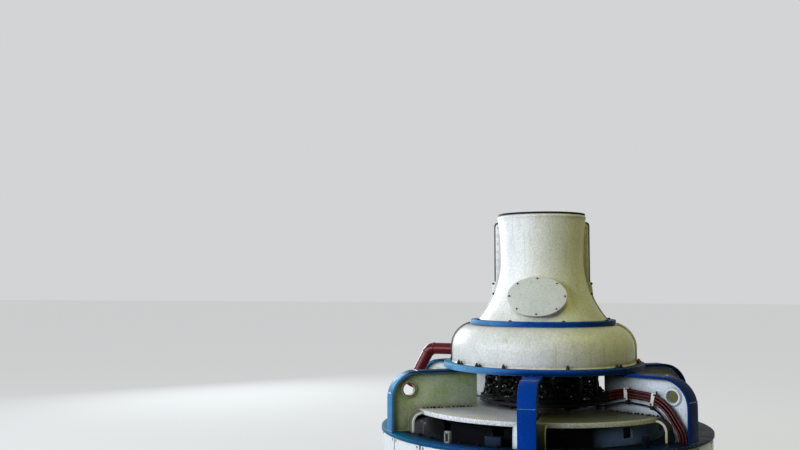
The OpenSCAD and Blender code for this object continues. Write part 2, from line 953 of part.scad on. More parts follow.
module tee_bracket() {
    color("#9a9d9c")
    fitted(deck_fitting_r, tee_turn, deck_z) {
        translate([-tee_bar / 4, -tee_bar / 2, 0])
        cube([tee_bar / 2, tee_bar, tee_h]);
        translate([-tee_bar / 4, -tee_w / 2, tee_h - tee_bar])
        cube([tee_bar / 2, tee_w, tee_bar]);
    }
}

module front_web() { arm_web(front); }
module front_right_web() { arm_web(front_right); }
module back_right_web() { arm_web(back_right); }
module back_web() { arm_web(back); }
module back_left_web() { arm_web(back_left); }
module front_left_web() { arm_web(front_left); }

module front_flange() { arm_flange(front); }
module front_right_flange() { arm_flange(front_right); }
module back_right_flange() { arm_flange(back_right); }
module back_flange() { arm_flange(back); }
module back_left_flange() { arm_flange(back_left); }
module front_left_flange() { arm_flange(front_left); }

sole_ring();
housing_wall();
housing_panels();
housing_top_ring();
deck_plate();
inner_barrel();
shelf_disc();
front_web();
front_right_web();
back_right_web();
back_web();
back_left_web();
front_left_web();
front_flange();
front_right_flange();
back_right_flange();
back_flange();
back_left_flange();
front_left_flange();
leg_flanges();
lower_ring();
drum_front_half();
drum_back_half();
upper_ring();
hood_front_half();
hood_back_half();
hood_cap();
oval_seat();
oval_cover();
shaft();
slip_rings();
rocker_ring();
brush_studs();
stud_tie_ring();
brush_boxes();
oil_pipes();
cable_conduit();
pipe_clamps();
air_pipe();
air_pipe_flange();
slotted_box();
wide_box();
dark_box();
tee_bracket();
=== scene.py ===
import bpy
import bmesh
import math
import random
from mathutils import Matrix, Vector


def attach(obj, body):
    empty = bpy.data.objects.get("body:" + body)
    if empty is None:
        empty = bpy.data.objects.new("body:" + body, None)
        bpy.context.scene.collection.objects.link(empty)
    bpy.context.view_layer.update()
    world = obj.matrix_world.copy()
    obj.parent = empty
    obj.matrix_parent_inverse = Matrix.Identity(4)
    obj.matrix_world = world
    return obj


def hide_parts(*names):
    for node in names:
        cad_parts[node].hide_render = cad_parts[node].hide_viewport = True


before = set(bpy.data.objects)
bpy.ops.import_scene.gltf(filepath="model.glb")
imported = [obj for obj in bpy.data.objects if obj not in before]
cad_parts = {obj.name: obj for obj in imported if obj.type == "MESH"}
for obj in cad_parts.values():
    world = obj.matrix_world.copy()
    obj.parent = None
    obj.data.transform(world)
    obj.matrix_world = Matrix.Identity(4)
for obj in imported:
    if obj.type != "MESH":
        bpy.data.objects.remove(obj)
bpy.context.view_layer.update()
random.seed(11)
rad = math.radians
print("frame loaded")


# materials

class Paint:
    # a short way to wire a material: every call returns an output socket
    def __init__(self, name):
        self.material = bpy.data.materials.new(name)
        self.material.use_nodes = True
        self.tree = self.material.node_tree
        self.shader = self.tree.nodes["Principled BSDF"]
        self.place = self.tree.nodes.new("ShaderNodeTexCoord").outputs["Object"]

    def link(self, source, target):
        self.tree.links.new(source, target)

    def noise(self, scale, detail=4, rough=0.55, stretch=None, distort=0.0):
        node = self.tree.nodes.new("ShaderNodeTexNoise")
        node.inputs["Scale"].default_value = scale
        node.inputs["Detail"].default_value = detail
        node.inputs["Roughness"].default_value = rough
        node.inputs["Distortion"].default_value = distort
        place = self.place
        if stretch:
            mapping = self.tree.nodes.new("ShaderNodeMapping")
            mapping.inputs["Scale"].default_value = stretch
            self.link(place, mapping.inputs["Vector"])
            place = mapping.outputs["Vector"]
        self.link(place, node.inputs["Vector"])
        return node.outputs["Fac"]

    def ramp(self, source, *stops):
        # stops are (position, value) with a grey value or an RGB colour
        node = self.tree.nodes.new("ShaderNodeValToRGB")
        points = node.color_ramp.elements
        while len(points) < len(stops):
            points.new(0.5)
        for point, (at, value) in zip(points, stops):
            point.position = at
            tone = (value,) * 3 if isinstance(value, (int, float)) else value
            point.color = (*tone, 1)
        self.link(source, node.inputs["Fac"])
        return node.outputs["Color"]

    def mix(self, factor, a, b, blend="MIX"):
        node = self.tree.nodes.new("ShaderNodeMix")
        node.data_type = "RGBA"
        node.blend_type = blend
        node.clamp_factor = True
        for value, socket in ((factor, node.inputs[0]), (a, node.inputs[6]), (b, node.inputs[7])):
            if hasattr(value, "is_output"):
                self.link(value, socket)
            elif isinstance(value, (int, float)):
                socket.default_value = value
            else:
                socket.default_value = (*value, 1)
        return node.outputs[2]

    def times(self, a, b):
        node = self.tree.nodes.new("ShaderNodeMath")
        node.operation = "MULTIPLY"
        node.use_clamp = True
        for value, socket in ((a, node.inputs[0]), (b, node.inputs[1])):
            if hasattr(value, "is_output"):
                self.link(value, socket)
            else:
                socket.default_value = value
        return node.outputs[0]

    def edges(self, width, low=0.86, high=0.99):
        # 1 along sharp edges, 0 on flats
        bevel = self.tree.nodes.new("ShaderNodeBevel")
        bevel.samples = 4
        bevel.inputs["Radius"].default_value = width
        plain = self.tree.nodes.new("ShaderNodeNewGeometry")
        dot = self.tree.nodes.new("ShaderNodeVectorMath")
        dot.operation = "DOT_PRODUCT"
        self.link(bevel.outputs["Normal"], dot.inputs[0])
        self.link(plain.outputs["Normal"], dot.inputs[1])
        return self.ramp(dot.outputs["Value"], (low, 1.0), (high, 0.0))

    def corners(self, distance, low=0.35, high=0.9):
        # 1 deep in corners, 0 in the open
        shade = self.tree.nodes.new("ShaderNodeAmbientOcclusion")
        shade.samples = 6
        shade.inputs["Distance"].default_value = distance
        return self.ramp(shade.outputs["AO"], (low, 1.0), (high, 0.0))

    def facingUp(self):
        # 1 where dust can settle
        plain = self.tree.nodes.new("ShaderNodeNewGeometry")
        split = self.tree.nodes.new("ShaderNodeSeparateXYZ")
        self.link(plain.outputs["Normal"], split.inputs[0])
        return self.ramp(split.outputs["Z"], (0.55, 0.0), (0.97, 1.0))

    def between(self, kind, low, high):
        # 0 to 1 across the object, along X or Z or outwards from the shaft
        split = self.tree.nodes.new("ShaderNodeSeparateXYZ")
        self.link(self.place, split.inputs[0])
        source = split.outputs["Z" if kind == "z" else "X"]
        if kind == "radius":
            flat = self.tree.nodes.new("ShaderNodeCombineXYZ")
            size = self.tree.nodes.new("ShaderNodeVectorMath")
            self.link(split.outputs["X"], flat.inputs["X"])
            self.link(split.outputs["Y"], flat.inputs["Y"])
            size.operation = "LENGTH"
            self.link(flat.outputs[0], size.inputs[0])
            source = size.outputs["Value"]
        node = self.tree.nodes.new("ShaderNodeMapRange")
        node.inputs["From Min"].default_value = low
        node.inputs["From Max"].default_value = high
        self.link(source, node.inputs["Value"])
        return node.outputs["Result"]

    def bump(self, *layers):
        # layers are (height socket, strength, distance)
        last = None
        for source, strength, distance in layers:
            node = self.tree.nodes.new("ShaderNodeBump")
            node.inputs["Strength"].default_value = strength
            node.inputs["Distance"].default_value = distance
            self.link(source, node.inputs["Height"])
            if last:
                self.link(last, node.inputs["Normal"])
            last = node.outputs["Normal"]
        self.link(last, self.shader.inputs["Normal"])

    def finish(self, colour, rough, metal=0.0, coat=0.0, specular=0.5, tint=(1, 1, 1)):
        self.link(colour, self.shader.inputs["Base Color"])
        self.link(rough, self.shader.inputs["Roughness"])
        self.shader.inputs["Metallic"].default_value = metal
        self.shader.inputs["Coat Weight"].default_value = coat
        self.shader.inputs["Coat Roughness"].default_value = 0.14
        self.shader.inputs["Specular IOR Level"].default_value = specular
        self.shader.inputs["Specular Tint"].default_value = (*tint, 1)
        self.shader.inputs["Coat Tint"].default_value = (*tint, 1)
        return self.material


finishLook = {"blotch": 3.2, "drips": 0.25, "specks": 0.25, "cornerSize": 0.05, "corners": 0.7,
              "edgeSize": 0.004, "chips": 0.56, "rough": 0.34, "coat": 0.2, "specular": 0.4,
              "tint": (1, 1, 1), "dust": 0.15,
              "dustTone": (0.34, 0.33, 0.28), "peel": 0.12, "grain": 0.12, "stains": ()}


def enamel(name, base, shade, grimeAndShade, wear, **changes):
    # thick brushed enamel: mottled colour, painted light and shade across the object, drips, chipped edges,
    # painted shade in corners broken into patches, and dust on top
    look = {**finishLook, **changes}
    paint = Paint(name)
    blotch = paint.ramp(paint.noise(look["blotch"], 5, 0.6), (0.35, 0.0), (0.72, 1.0))
    colour = paint.mix(blotch, base, shade)
    for tone, first, *others in look["stains"]:
        # painted light and shade: parts of the object made lighter or darker as light or shade falls there;
        # each range runs from the plain tone to the painted one
        share = paint.between(*first)
        for span in others:
            share = paint.times(share, paint.between(*span))
        colour = paint.mix(share, colour, paint.mix(blotch, tone, [0.75 * value for value in tone]))
    drips = paint.noise(1.0, 6, 0.6, stretch=(26, 26, 1.6), distort=0.3)
    colour = paint.mix(paint.times(paint.ramp(drips, (0.55, 0.0), (0.8, 1.0)), look["drips"]), colour, grimeAndShade)
    speck = paint.ramp(paint.noise(95, 2, 0.5), (0.58, 0.0), (0.72, 1.0))
    colour = paint.mix(paint.times(speck, look["specks"]), colour, grimeAndShade)
    grain = paint.ramp(paint.noise(90, 3, 0.6), (0.36, 1.0), (0.60, 0.0))
    colour = paint.mix(paint.times(grain, look["grain"]), colour, (0.25, 0.25, 0.25), "MULTIPLY")
    # painted shade: darker in corners and between parts, by ambient occlusion, broken into patches
    patchy = paint.ramp(paint.noise(9, 4, 0.6), (0.3, 0.3), (0.7, 1.0))
    cornerShade = paint.times(paint.corners(look["cornerSize"]), patchy)
    colour = paint.mix(paint.times(cornerShade, look["corners"]), colour, grimeAndShade)
    chips = paint.ramp(paint.noise(38, 5, 0.7), (look["chips"], 0.0), (look["chips"] + 0.07, 1.0))
    colour = paint.mix(paint.times(paint.edges(look["edgeSize"]), chips), colour, wear)
    dust = paint.times(paint.facingUp(), paint.ramp(paint.noise(5, 5, 0.65), (0.3, 0.2), (0.75, 1.0)))
    colour = paint.mix(paint.times(dust, look["dust"]), colour, look["dustTone"])
    sheen = paint.ramp(paint.noise(14, 4, 0.6), (0.3, look["rough"] - 0.06), (0.75, look["rough"] + 0.1))
    paint.bump((paint.noise(52, 3, 0.55), look["peel"], 0.008),
               (paint.noise(1.0, 4, 0.6, stretch=(60, 60, 7)), 0.10, 0.002))
    return paint.finish(colour, sheen, coat=look["coat"], specular=look["specular"], tint=look["tint"])


def bareMetal(name, base, dark, rough, grimeAndShade=0.5):
    metal = Paint(name)
    blotch = metal.ramp(metal.noise(24, 5, 0.65), (0.35, 0.0), (0.7, 1.0))
    colour = metal.mix(blotch, base, dark)
    # painted shade: darker in corners, by ambient occlusion
    colour = metal.mix(metal.times(metal.corners(0.03), grimeAndShade), colour, (0.012, 0.010, 0.008))
    sheen = metal.ramp(metal.noise(60, 4, 0.6), (0.3, rough - 0.08), (0.7, rough + 0.14))
    metal.bump((metal.noise(160, 3, 0.6), 0.15, 0.001))
    return metal.finish(colour, sheen, metal=0.85)


# bare tones that show where the coat is worn off; on the blue rings the pale worn edges also stand in for
# painted highlights
primer, palerBlue = (0.30, 0.26, 0.18), (0.16, 0.36, 0.62)

# a slightly cooler tone outside radius 0.5 (the drum); painted light on the hood's left side, painted shade in
# olive on the right side
creamPaint = enamel("creamEnamel", (0.75, 0.75, 0.69), (0.68, 0.69, 0.60), (0.24, 0.22, 0.12), primer,
                    rough=0.42, drips=0.5, blotch=2.6, coat=0.05, specular=0.3, peel=0.42, specks=0.15,
                    grain=0.3,
                    stains=(((0.74, 0.745, 0.71), ("radius", 0.50, 0.62)),
                            ((0.93, 0.94, 0.94), ("x", -0.02, -0.30), ("radius", 0.48, 0.40)),
                            ((0.68, 0.68, 0.54), ("x", 0.08, 0.40))))
stripPaint = enamel("stripEnamel", (0.74, 0.74, 0.64), (0.66, 0.67, 0.56), (0.24, 0.22, 0.12), primer,
                    corners=0.0, drips=0.1)
panelPaint = enamel("panelEnamel", (0.63, 0.67, 0.68), (0.57, 0.60, 0.60), (0.22, 0.21, 0.15),
                    (0.30, 0.27, 0.20),
                    drips=0.35, peel=0.2)
webLook = {"rough": 0.44, "corners": 0.9, "specular": 0.15, "coat": 0.0, "peel": 0.4, "grain": 0.3}
# pale lit tone for the right arms' webs, with painted shade towards the gear
litWebPaint = enamel("litWebEnamel", (0.76, 0.82, 0.90), (0.66, 0.72, 0.76), (0.05, 0.055, 0.03), primer,
                  stains=(((0.026, 0.034, 0.022), ("x", 0.86, 0.50)),), drips=0.2, **webLook)
# painted shade: a darker olive copy of the web paint for the front and front-left webs
shadedWebPaint = enamel("shadedWebEnamel", (0.44, 0.49, 0.34), (0.29, 0.36, 0.15), (0.12, 0.09, 0.04), primer,
                    drips=0.4, blotch=6.5, **webLook)
backPaint = enamel("backWebEnamel", (0.68, 0.71, 0.70), (0.60, 0.64, 0.60), (0.12, 0.13, 0.08), primer,
                   drips=0.2, **webLook)
# painted shade: wide corner darkening under the drum and gear, olive right of the front arm, darker at the rim
# and nearly black further in
shelfPaint = enamel("shelfEnamel", (0.77, 0.78, 0.79), (0.59, 0.60, 0.58), (0.06, 0.055, 0.035),
                    (0.76, 0.76, 0.70),
                    rough=0.44, drips=0.1, corners=1.0, cornerSize=0.16, chips=0.5, coat=0.0, dust=0.2,
                    dustTone=(0.20, 0.20, 0.17), specks=0.6, peel=0.4, grain=0.5,
                    stains=(((0.58, 0.59, 0.46), ("x", -0.05, 0.35)),
                            ((0.11, 0.12, 0.075), ("x", -0.02, 0.08), ("radius", 1.072, 1.040)),
                            ((0.010, 0.012, 0.006), ("x", -0.02, 0.08), ("radius", 1.00, 0.74))))
blueLook = {"rough": 0.46, "drips": 0.3, "coat": 0.0, "chips": 0.60, "specular": 0.04, "dust": 0.0,
            "tint": (0.36, 1.0, 0.70), "peel": 0.3, "grain": 0.25}
# wider, more frequent pale edges: worn paint and painted highlights along the rings' edges
wornEdgeGlintLook = {**blueLook, "chips": 0.46, "edgeSize": 0.008}
# painted light: paler cyan on the left arms; painted shade: darker top edge of the left arm's flange and navy
# on the right arms
bluePaint = enamel("blueEnamel", (0.002, 0.048, 0.34), (0.002, 0.036, 0.26), (0.002, 0.010, 0.045),
                   palerBlue, stains=(((0.052, 0.20, 0.40), ("x", -0.35, -0.95)),
                                               ((0.003, 0.024, 0.075), ("z", 0.838, 0.856),
                                                ("x", -0.40, -0.55)),
                                               ((0.002, 0.020, 0.13), ("x", 0.5, 1.0))), **blueLook)
# painted light: paler on the left; painted shade: darker on the right; the lower ring's edge darker towards
# its bottom, fading out to the left
discBlue = enamel("discEnamel", (0.003, 0.056, 0.32), (0.003, 0.040, 0.25), (0.002, 0.010, 0.045),
                  palerBlue, stains=(((0.11, 0.31, 0.50), ("x", -0.08, -0.58)),
                                              ((0.001, 0.006, 0.026), ("x", 0.25, 0.75)),
                                              ((0.001, 0.016, 0.075), ("z", 0.896, 0.882),
                                               ("x", -0.45, -0.05))),
                  **wornEdgeGlintLook)
# painted light: paler on the left; painted shade: near black on the right and darker towards the inner edge of
# the top
ringBlue = enamel("ringEnamel", (0.003, 0.052, 0.20), (0.003, 0.036, 0.15), (0.003, 0.006, 0.014),
                  palerBlue, stains=(((0.004, 0.115, 0.21), ("x", -0.5, -1.1)),
                                              ((0.002, 0.005, 0.018), ("x", 0.3, 1.0)),
                                              ((0.003, 0.006, 0.014), ("radius", 1.27, 1.18))), **wornEdgeGlintLook)
# lit pale tone with painted shade: olive on the left arms' legs, dark on the right of the front arm
shadedLegPaint = enamel("shadedLegEnamel", (0.80, 0.88, 0.92), (0.72, 0.79, 0.82), (0.03, 0.03, 0.015), primer,
                  stains=(((0.14, 0.15, 0.12), ("x", -0.3, -0.7)),
                          ((0.055, 0.066, 0.040), ("x", -0.01, 0.02))),
                  rough=0.5, coat=0.0, specular=0.1)
greyPaint = enamel("greyEnamel", (0.58, 0.60, 0.57), (0.50, 0.52, 0.48), (0.16, 0.15, 0.12),
                   (0.66, 0.66, 0.60),
                   rough=0.46, drips=0.2, coat=0.0, peel=0.35, specks=0.4)
boxGrey = enamel("boxGreyEnamel", (0.19, 0.20, 0.20), (0.14, 0.15, 0.15), (0.02, 0.02, 0.02), (0.5, 0.5, 0.48),
                 rough=0.5, coat=0.0)
darkPaint = enamel("darkEnamel", (0.014, 0.016, 0.020), (0.009, 0.010, 0.013), (0.03, 0.027, 0.02),
                   (0.12, 0.11, 0.10), rough=0.55, specular=0.05, coat=0.0, dust=0.0)
# painted light: bright blue on the barrel's right where light reaches in; painted shade: near black elsewhere
barrelLitAndShadedPaint = enamel("barrelLitAndShadedEnamel", (0.44, 0.68, 1.0), (0.32, 0.52, 0.84), (0.002, 0.002, 0.003),
                       (0.03, 0.06, 0.13), rough=0.6, corners=0.8, cornerSize=0.1, specular=0.04, coat=0.0,
                       dust=0.0, stains=(((0.002, 0.002, 0.003), ("x", 0.78, 0.42)),))
# near black, darker than a dark coat alone: painted shade for the pit under the shelf
deckPaint = enamel("deckEnamel", (0.004, 0.006, 0.012), (0.003, 0.004, 0.007), (0.002, 0.002, 0.002),
                   (0.02, 0.03, 0.05), rough=0.6, specular=0.04, coat=0.0, dust=0.0)
redLook = {"rough": 0.28, "coat": 0.06, "chips": 0.60, "blotch": 9.0, "dust": 0.0, "specular": 0.25,
           "tint": (1.0, 0.62, 0.64)}
redPaint = enamel("redEnamel", (0.105, 0.007, 0.010), (0.055, 0.004, 0.006), (0.014, 0.005, 0.004),
                  (0.52, 0.30, 0.28), **redLook)
oilRed = enamel("oilPipeEnamel", (0.056, 0.003, 0.004), (0.026, 0.003, 0.003), (0.010, 0.004, 0.003),
                (0.52, 0.30, 0.28), **redLook)
whitePaint = enamel("clampEnamel", (0.78, 0.78, 0.75), (0.68, 0.68, 0.64), (0.15, 0.13, 0.10),
                    (0.25, 0.2, 0.15),
                    rough=0.4)
boltSteel = bareMetal("boltSteel", (0.028, 0.027, 0.028), (0.012, 0.011, 0.011), 0.5, 0.9)
rustyBolt = bareMetal("rustyBolt", (0.22, 0.080, 0.035), (0.08, 0.03, 0.02), 0.6)
shaftSteel = bareMetal("shaftSteel", (0.18, 0.17, 0.16), (0.08, 0.075, 0.07), 0.36, 0.9)
ringBrass = bareMetal("slipRingBrass", (0.030, 0.020, 0.011), (0.010, 0.008, 0.006), 0.5, 0.9)
copperLead = bareMetal("copperLead", (0.12, 0.05, 0.03), (0.04, 0.02, 0.014), 0.5)
holderBronze = bareMetal("holderBronze", (0.020, 0.017, 0.014), (0.007, 0.006, 0.006), 0.5, 0.9)
tinPlate = bareMetal("tinnedLug", (0.50, 0.50, 0.48), (0.10, 0.10, 0.10), 0.40, 0.4)
blackBake = enamel("brushBoxBlack", (0.010, 0.010, 0.010), (0.007, 0.006, 0.006), (0.02, 0.018, 0.014),
                   (0.10, 0.09, 0.07), rough=0.5, coat=0.0, specular=0.08, dust=0.0)
blackRubber = enamel("conduitRubber", (0.007, 0.007, 0.008), (0.004, 0.004, 0.005), (0.012, 0.012, 0.010),
                     (0.04, 0.04, 0.04), rough=0.6, coat=0.0, specular=0.05, dust=0.0)
# lighter than the flange's blue: painted highlight along the weld seams
seamPaint = enamel("seamEnamel", (0.05, 0.20, 0.52), (0.02, 0.11, 0.40), (0.01, 0.03, 0.12), (0.4, 0.55, 0.75),
                   rough=0.34, drips=0.0, dust=0.0)
slatePaint = enamel("slateEnamel", (0.006, 0.015, 0.033), (0.004, 0.009, 0.020), (0.003, 0.005, 0.008),
                    (0.10, 0.13, 0.17), rough=0.55, coat=0.0, specular=0.08, dust=0.0)
gasketDark = enamel("gasketDark", (0.040, 0.024, 0.015), (0.022, 0.015, 0.011), (0.02, 0.015, 0.01),
                    (0.12, 0.09, 0.07), rough=0.6, coat=0.0, dust=0.02)
print("materials ready")


# modelling helpers

def slide(x, y, z):
    return Matrix.Translation((x, y, z))


def swing(angle, axis):
    return Matrix.Rotation(rad(angle), 4, axis)


def arcPoints(centre, radius, start, end, steps):
    return [(centre[0] + radius * math.cos(rad(start + (end - start) * i / steps)),
             centre[1] + radius * math.sin(rad(start + (end - start) * i / steps)))
            for i in range(steps + 1)]


def softened(bm, width, segments=2, limit=32):
    # rounds every edge sharper than the limit
    edges = [e for e in bm.edges if len(e.link_faces) == 2 and e.calc_face_angle(0) > rad(limit)]
    if edges:
        bmesh.ops.bevel(bm, geom=edges, offset=width, offset_type="OFFSET", segments=segments,
                        profile=0.5, affect="EDGES", material=-1, clamp_overlap=True)
    return bm


def turned(profile, steps=144, sweep=360, start=0):
    # spins a closed (radius, height) outline round the shaft's axis
    bm = bmesh.new()
    verts = [bm.verts.new((r, 0, z)) for r, z in profile]
    if sweep == 360:
        for i in range(len(verts)):
            bm.edges.new((verts[i - 1], verts[i]))
    else:
        bm.faces.new(verts)
    bmesh.ops.rotate(bm, verts=verts, cent=(0, 0, 0), matrix=Matrix.Rotation(rad(start), 3, "Z"))
    bmesh.ops.spin(bm, geom=bm.verts[:] + bm.edges[:] + bm.faces[:], cent=(0, 0, 0), axis=(0, 0, 1),
                   angle=rad(sweep), steps=steps, use_merge=sweep == 360)
    bmesh.ops.recalc_face_normals(bm, faces=bm.faces)
    return bm


def squareRing(inner, outer, low, high, soft, steps=144):
    return softened(turned([(inner, low), (outer, low), (outer, high), (inner, high)], steps), soft, 3)


def plate(outline, thickness, hole=None):
    # an upright plate in the X-Z plane, centred on Y = 0, with an optional round hole (x, z, radius)
    bm = bmesh.new()
    verts = [bm.verts.new((x, -thickness / 2, z)) for x, z in outline]
    edges = [bm.edges.new((verts[i - 1], verts[i])) for i in range(len(verts))]
    if hole:
        ring = bmesh.ops.create_circle(bm, segments=48, radius=hole[2], matrix=Matrix.Translation(
            (hole[0], -thickness / 2, hole[1])) @ swing(90, "X"))["verts"]
        edges += list({e for v in ring for e in v.link_edges})
        bmesh.ops.triangle_fill(bm, use_beauty=True, edges=edges)
    else:
        bm.faces.new(verts)
    up = bmesh.ops.extrude_face_region(bm, geom=bm.faces[:])
    moved = [g for g in up["geom"] if isinstance(g, bmesh.types.BMVert)]
    bmesh.ops.translate(bm, verts=moved, vec=(0, thickness, 0))
    bmesh.ops.recalc_face_normals(bm, faces=bm.faces)
    return bm


def block(bm, size, place):
    return bmesh.ops.create_cube(bm, size=1, matrix=place @ Matrix.Diagonal((*size, 1)))["verts"]


def disc(bm, radius, depth, place, sides=32, top=None):
    # a round or many-sided slug that stands on its place
    made = bmesh.ops.create_cone(bm, cap_ends=True, segments=sides, radius1=radius,
                                 radius2=radius if top is None else top, depth=depth,
                                 matrix=place @ slide(0, 0, depth / 2))
    return made["verts"]


def bolt(bm, place, size, washer=True, stud=0.0, head=0.5):
    # hexagon head on a washer; size is the thread's diameter, head the head's height in diameters
    if washer:
        disc(bm, size * 1.0, size * 0.16, place, 24)
    base = place @ slide(0, 0, size * 0.14 if washer else 0) @ Matrix.Rotation(
        random.uniform(0, 1), 4, "Z")
    disc(bm, size * 0.92, size * head, base, 6)
    disc(bm, size * 0.92, size * 0.13, base @ slide(0, 0, size * head), 6, size * 0.76)
    if stud:
        disc(bm, size * 0.48, stud, base @ slide(0, 0, size * (head + 0.1)), 16, size * 0.42)


def pose(position, outward):
    # a place whose Z axis points outward
    turn = Vector(outward).to_track_quat("Z", "Y").to_matrix().to_4x4()
    return Matrix.Translation(position) @ turn


def around(radius, azimuth, height, outwards=False):
    place = swing(azimuth, "Z") @ slide(radius, 0, height)
    return place @ swing(90, "Y") if outwards else place


def turnTo(bm, azimuth):
    bmesh.ops.rotate(bm, verts=bm.verts, cent=(0, 0, 0), matrix=Matrix.Rotation(rad(azimuth), 3, "Z"))
    return bm


def gathered(parts):
    # several bmeshes in one
    whole = bmesh.new()
    for part in parts:
        mesh = bpy.data.meshes.new("part")
        part.to_mesh(mesh)
        part.free()
        whole.from_mesh(mesh)
        bpy.data.meshes.remove(mesh)
    return whole


def piece(name, bm, material, stands=(), slot=None, sharp=38):
    # turns a bmesh into a finished object that rides on the body
    bmesh.ops.recalc_face_normals(bm, faces=bm.faces)
    mesh = bpy.data.meshes.new(name)
    bm.to_mesh(mesh)
    bm.free()
    mesh.shade_smooth()
    mesh.set_sharp_from_angle(angle=rad(sharp))
    made = bpy.data.objects.new(name, mesh)
    bpy.context.scene.collection.objects.link(made)
    mesh.materials.append(material)
    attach(made, "root")
    if stands:
        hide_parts(*stands)
    return made


def tube(name, paths, radius, material, sides=5, stands=(), slot=None, wobble=0.0):
    # round bars along lists of points, made with a bevelled curve and turned into a mesh
    curve = bpy.data.curves.new(name, "CURVE")
    curve.dimensions = "3D"
    curve.bevel_depth = radius
    curve.bevel_resolution = sides
    curve.use_fill_caps = True
    for path in paths:
        spline = curve.splines.new("POLY")
        spline.points.add(len(path) - 1)
        for point, at in zip(spline.points, path):
            point.co = (*at, 1)
            point.radius = 1 + random.uniform(-wobble, wobble)
    holder = bpy.data.objects.new(name + "Path", curve)
    mesh = bpy.data.meshes.new_from_object(holder)
    bpy.data.objects.remove(holder)
    bpy.data.curves.remove(curve)
    bm = bmesh.new()
    bm.from_mesh(mesh)
    bpy.data.meshes.remove(mesh)
    bmesh.ops.remove_doubles(bm, verts=bm.verts, dist=0.00002)
    return piece(name, bm, material, stands, slot, sharp=60)


def dress(node, material):
    # a CAD node that keeps its shape and takes a better finish
    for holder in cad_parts[node].material_slots:
        holder.material = material


# stator housing

housing = {"radius": 1.318, "panels": 22, "panelThick": 0.020, "low": 0.025, "high": 0.369, "joint": 0.016,
           "firstJoint": -78.6, "ringRadius": 1.328, "ringIn": 1.124, "ringLow": 0.372, "ringHigh": 0.397,
           "screw": 0.010, "ringBolt": 0.018}


def buildHousing(h):
    step = 360 / h["panels"]
    gap = math.degrees(math.atan(h["joint"] / 2 / h["radius"]))
    panels, screws = [], bmesh.new()
    for i in range(h["panels"]):
        start = h["firstJoint"] + i * step + gap
        sweep = step - 2 * gap
        profile = [(h["radius"] - h["panelThick"], h["low"]), (h["radius"], h["low"]),
                   (h["radius"], h["high"]), (h["radius"] - h["panelThick"], h["high"])]
        panels.append(softened(turned(profile, 8, sweep, start), 0.004))
        for side in (0.07, 0.93):
            for up in (0.045, 0.5, 0.955):
                height = h["low"] + (h["high"] - h["low"]) * up
                place = around(h["radius"] - 0.001, start + sweep * side, height, True)
                disc(screws, h["screw"], 0.002, place, 20)
                disc(screws, h["screw"] * 0.8, 0.002, place @ slide(0, 0, 0.002), 20,
                     h["screw"] * 0.45)
    piece("housingPanelSkins", gathered(panels), panelPaint, ["housing_panels"], "cream_paint")
    piece("panelScrews", screws, boxGrey, slot="grey_paint")
    ring = squareRing(h["ringIn"], h["ringRadius"], h["ringLow"], h["ringHigh"], 0.0035, 176)
    piece("housingRing", ring, ringBlue, ["housing_top_ring"], "blue_paint")
    bolts = bmesh.new()
    for i in range(48):
        azimuth = 3.75 + i * 7.5
        if min(abs((azimuth - arm + 180) % 360 - 180) for arm in arms["azimuths"]) > 7:
            bolt(bolts, around(1.152, azimuth, h["ringHigh"]), h["ringBolt"])
    piece("housingRingBolts", bolts, deckPaint, slot="dark_paint")
    dress("housing_wall", darkPaint)
    dress("sole_ring", darkPaint)
    dress("deck_plate", deckPaint)
    dress("inner_barrel", barrelLitAndShadedPaint)


# spider arms

arms = {"azimuths": (-90, -30, 30, 90, 150, 210),
        "names": ("front", "front_right", "back_right", "back", "back_left", "front_left"),
        "outer": 1.312, "top": 0.865, "foot": 0.397, "flange": 0.020, "flangeWide": 0.132, "corner": 0.215,
        "web": 0.028, "inner": 0.585, "shelfRadius": 1.074, "shelfTop": 0.568, "legFace": 1.160,
        "legWide": 0.230, "legThick": 0.018, "legBend": 0.086, "legTop": 0.555, "hole": (1.157, 0.720),
        "holeRadius": 0.047,
        "collar": 0.064, "collarProud": 0.014, "bead": 0.0055, "seam": 0.693}


def armWeb(a):
    centre = (a["outer"] - a["corner"], a["top"] - a["corner"])
    legCentre = (a["shelfRadius"], a["legTop"] - a["legBend"])
    outline = ([(a["inner"], a["shelfTop"]), (a["shelfRadius"], a["shelfTop"])]
               + arcPoints(legCentre, a["legBend"], 90, 0, 12)
               + [(a["legFace"], a["foot"]), (a["outer"] - a["flange"], a["foot"])]
               + arcPoints(centre, a["corner"] - a["flange"], 0, 90, 20)
               + [(a["inner"], a["top"] - a["flange"])])
    web = softened(plate(outline, a["web"], (*a["hole"], a["holeRadius"])), 0.002)
    for side in (-1, 1):
        # collar ring welded on each face of the web
        place = slide(a["hole"][0], side * a["web"] / 2, a["hole"][1]) @ Matrix.Rotation(
            rad(-90 * side), 4, "X")
        outer = bmesh.ops.create_circle(web, segments=48, radius=a["collar"], matrix=place)["verts"]
        hole = bmesh.ops.create_circle(web, segments=48, radius=a["holeRadius"], matrix=place)["verts"]
        loops = list({e for v in outer + hole for e in v.link_edges})
        faces = bmesh.ops.bridge_loops(web, edges=loops)["faces"]
        up = bmesh.ops.extrude_face_region(web, geom=faces)
        raised = [g for g in up["geom"] if isinstance(g, bmesh.types.BMVert)]
        bmesh.ops.translate(web, verts=raised, vec=(0, side * a["collarProud"], 0))
        rim = [g for g in up["geom"] if isinstance(g, bmesh.types.BMEdge)
               and abs(sum(f.normal.y for f in g.link_faces)) < 1.5]
        bmesh.ops.bevel(web, geom=rim, offset=0.003, offset_type="OFFSET", segments=2, profile=0.5,
                        affect="EDGES", material=-1, clamp_overlap=True)
    return web


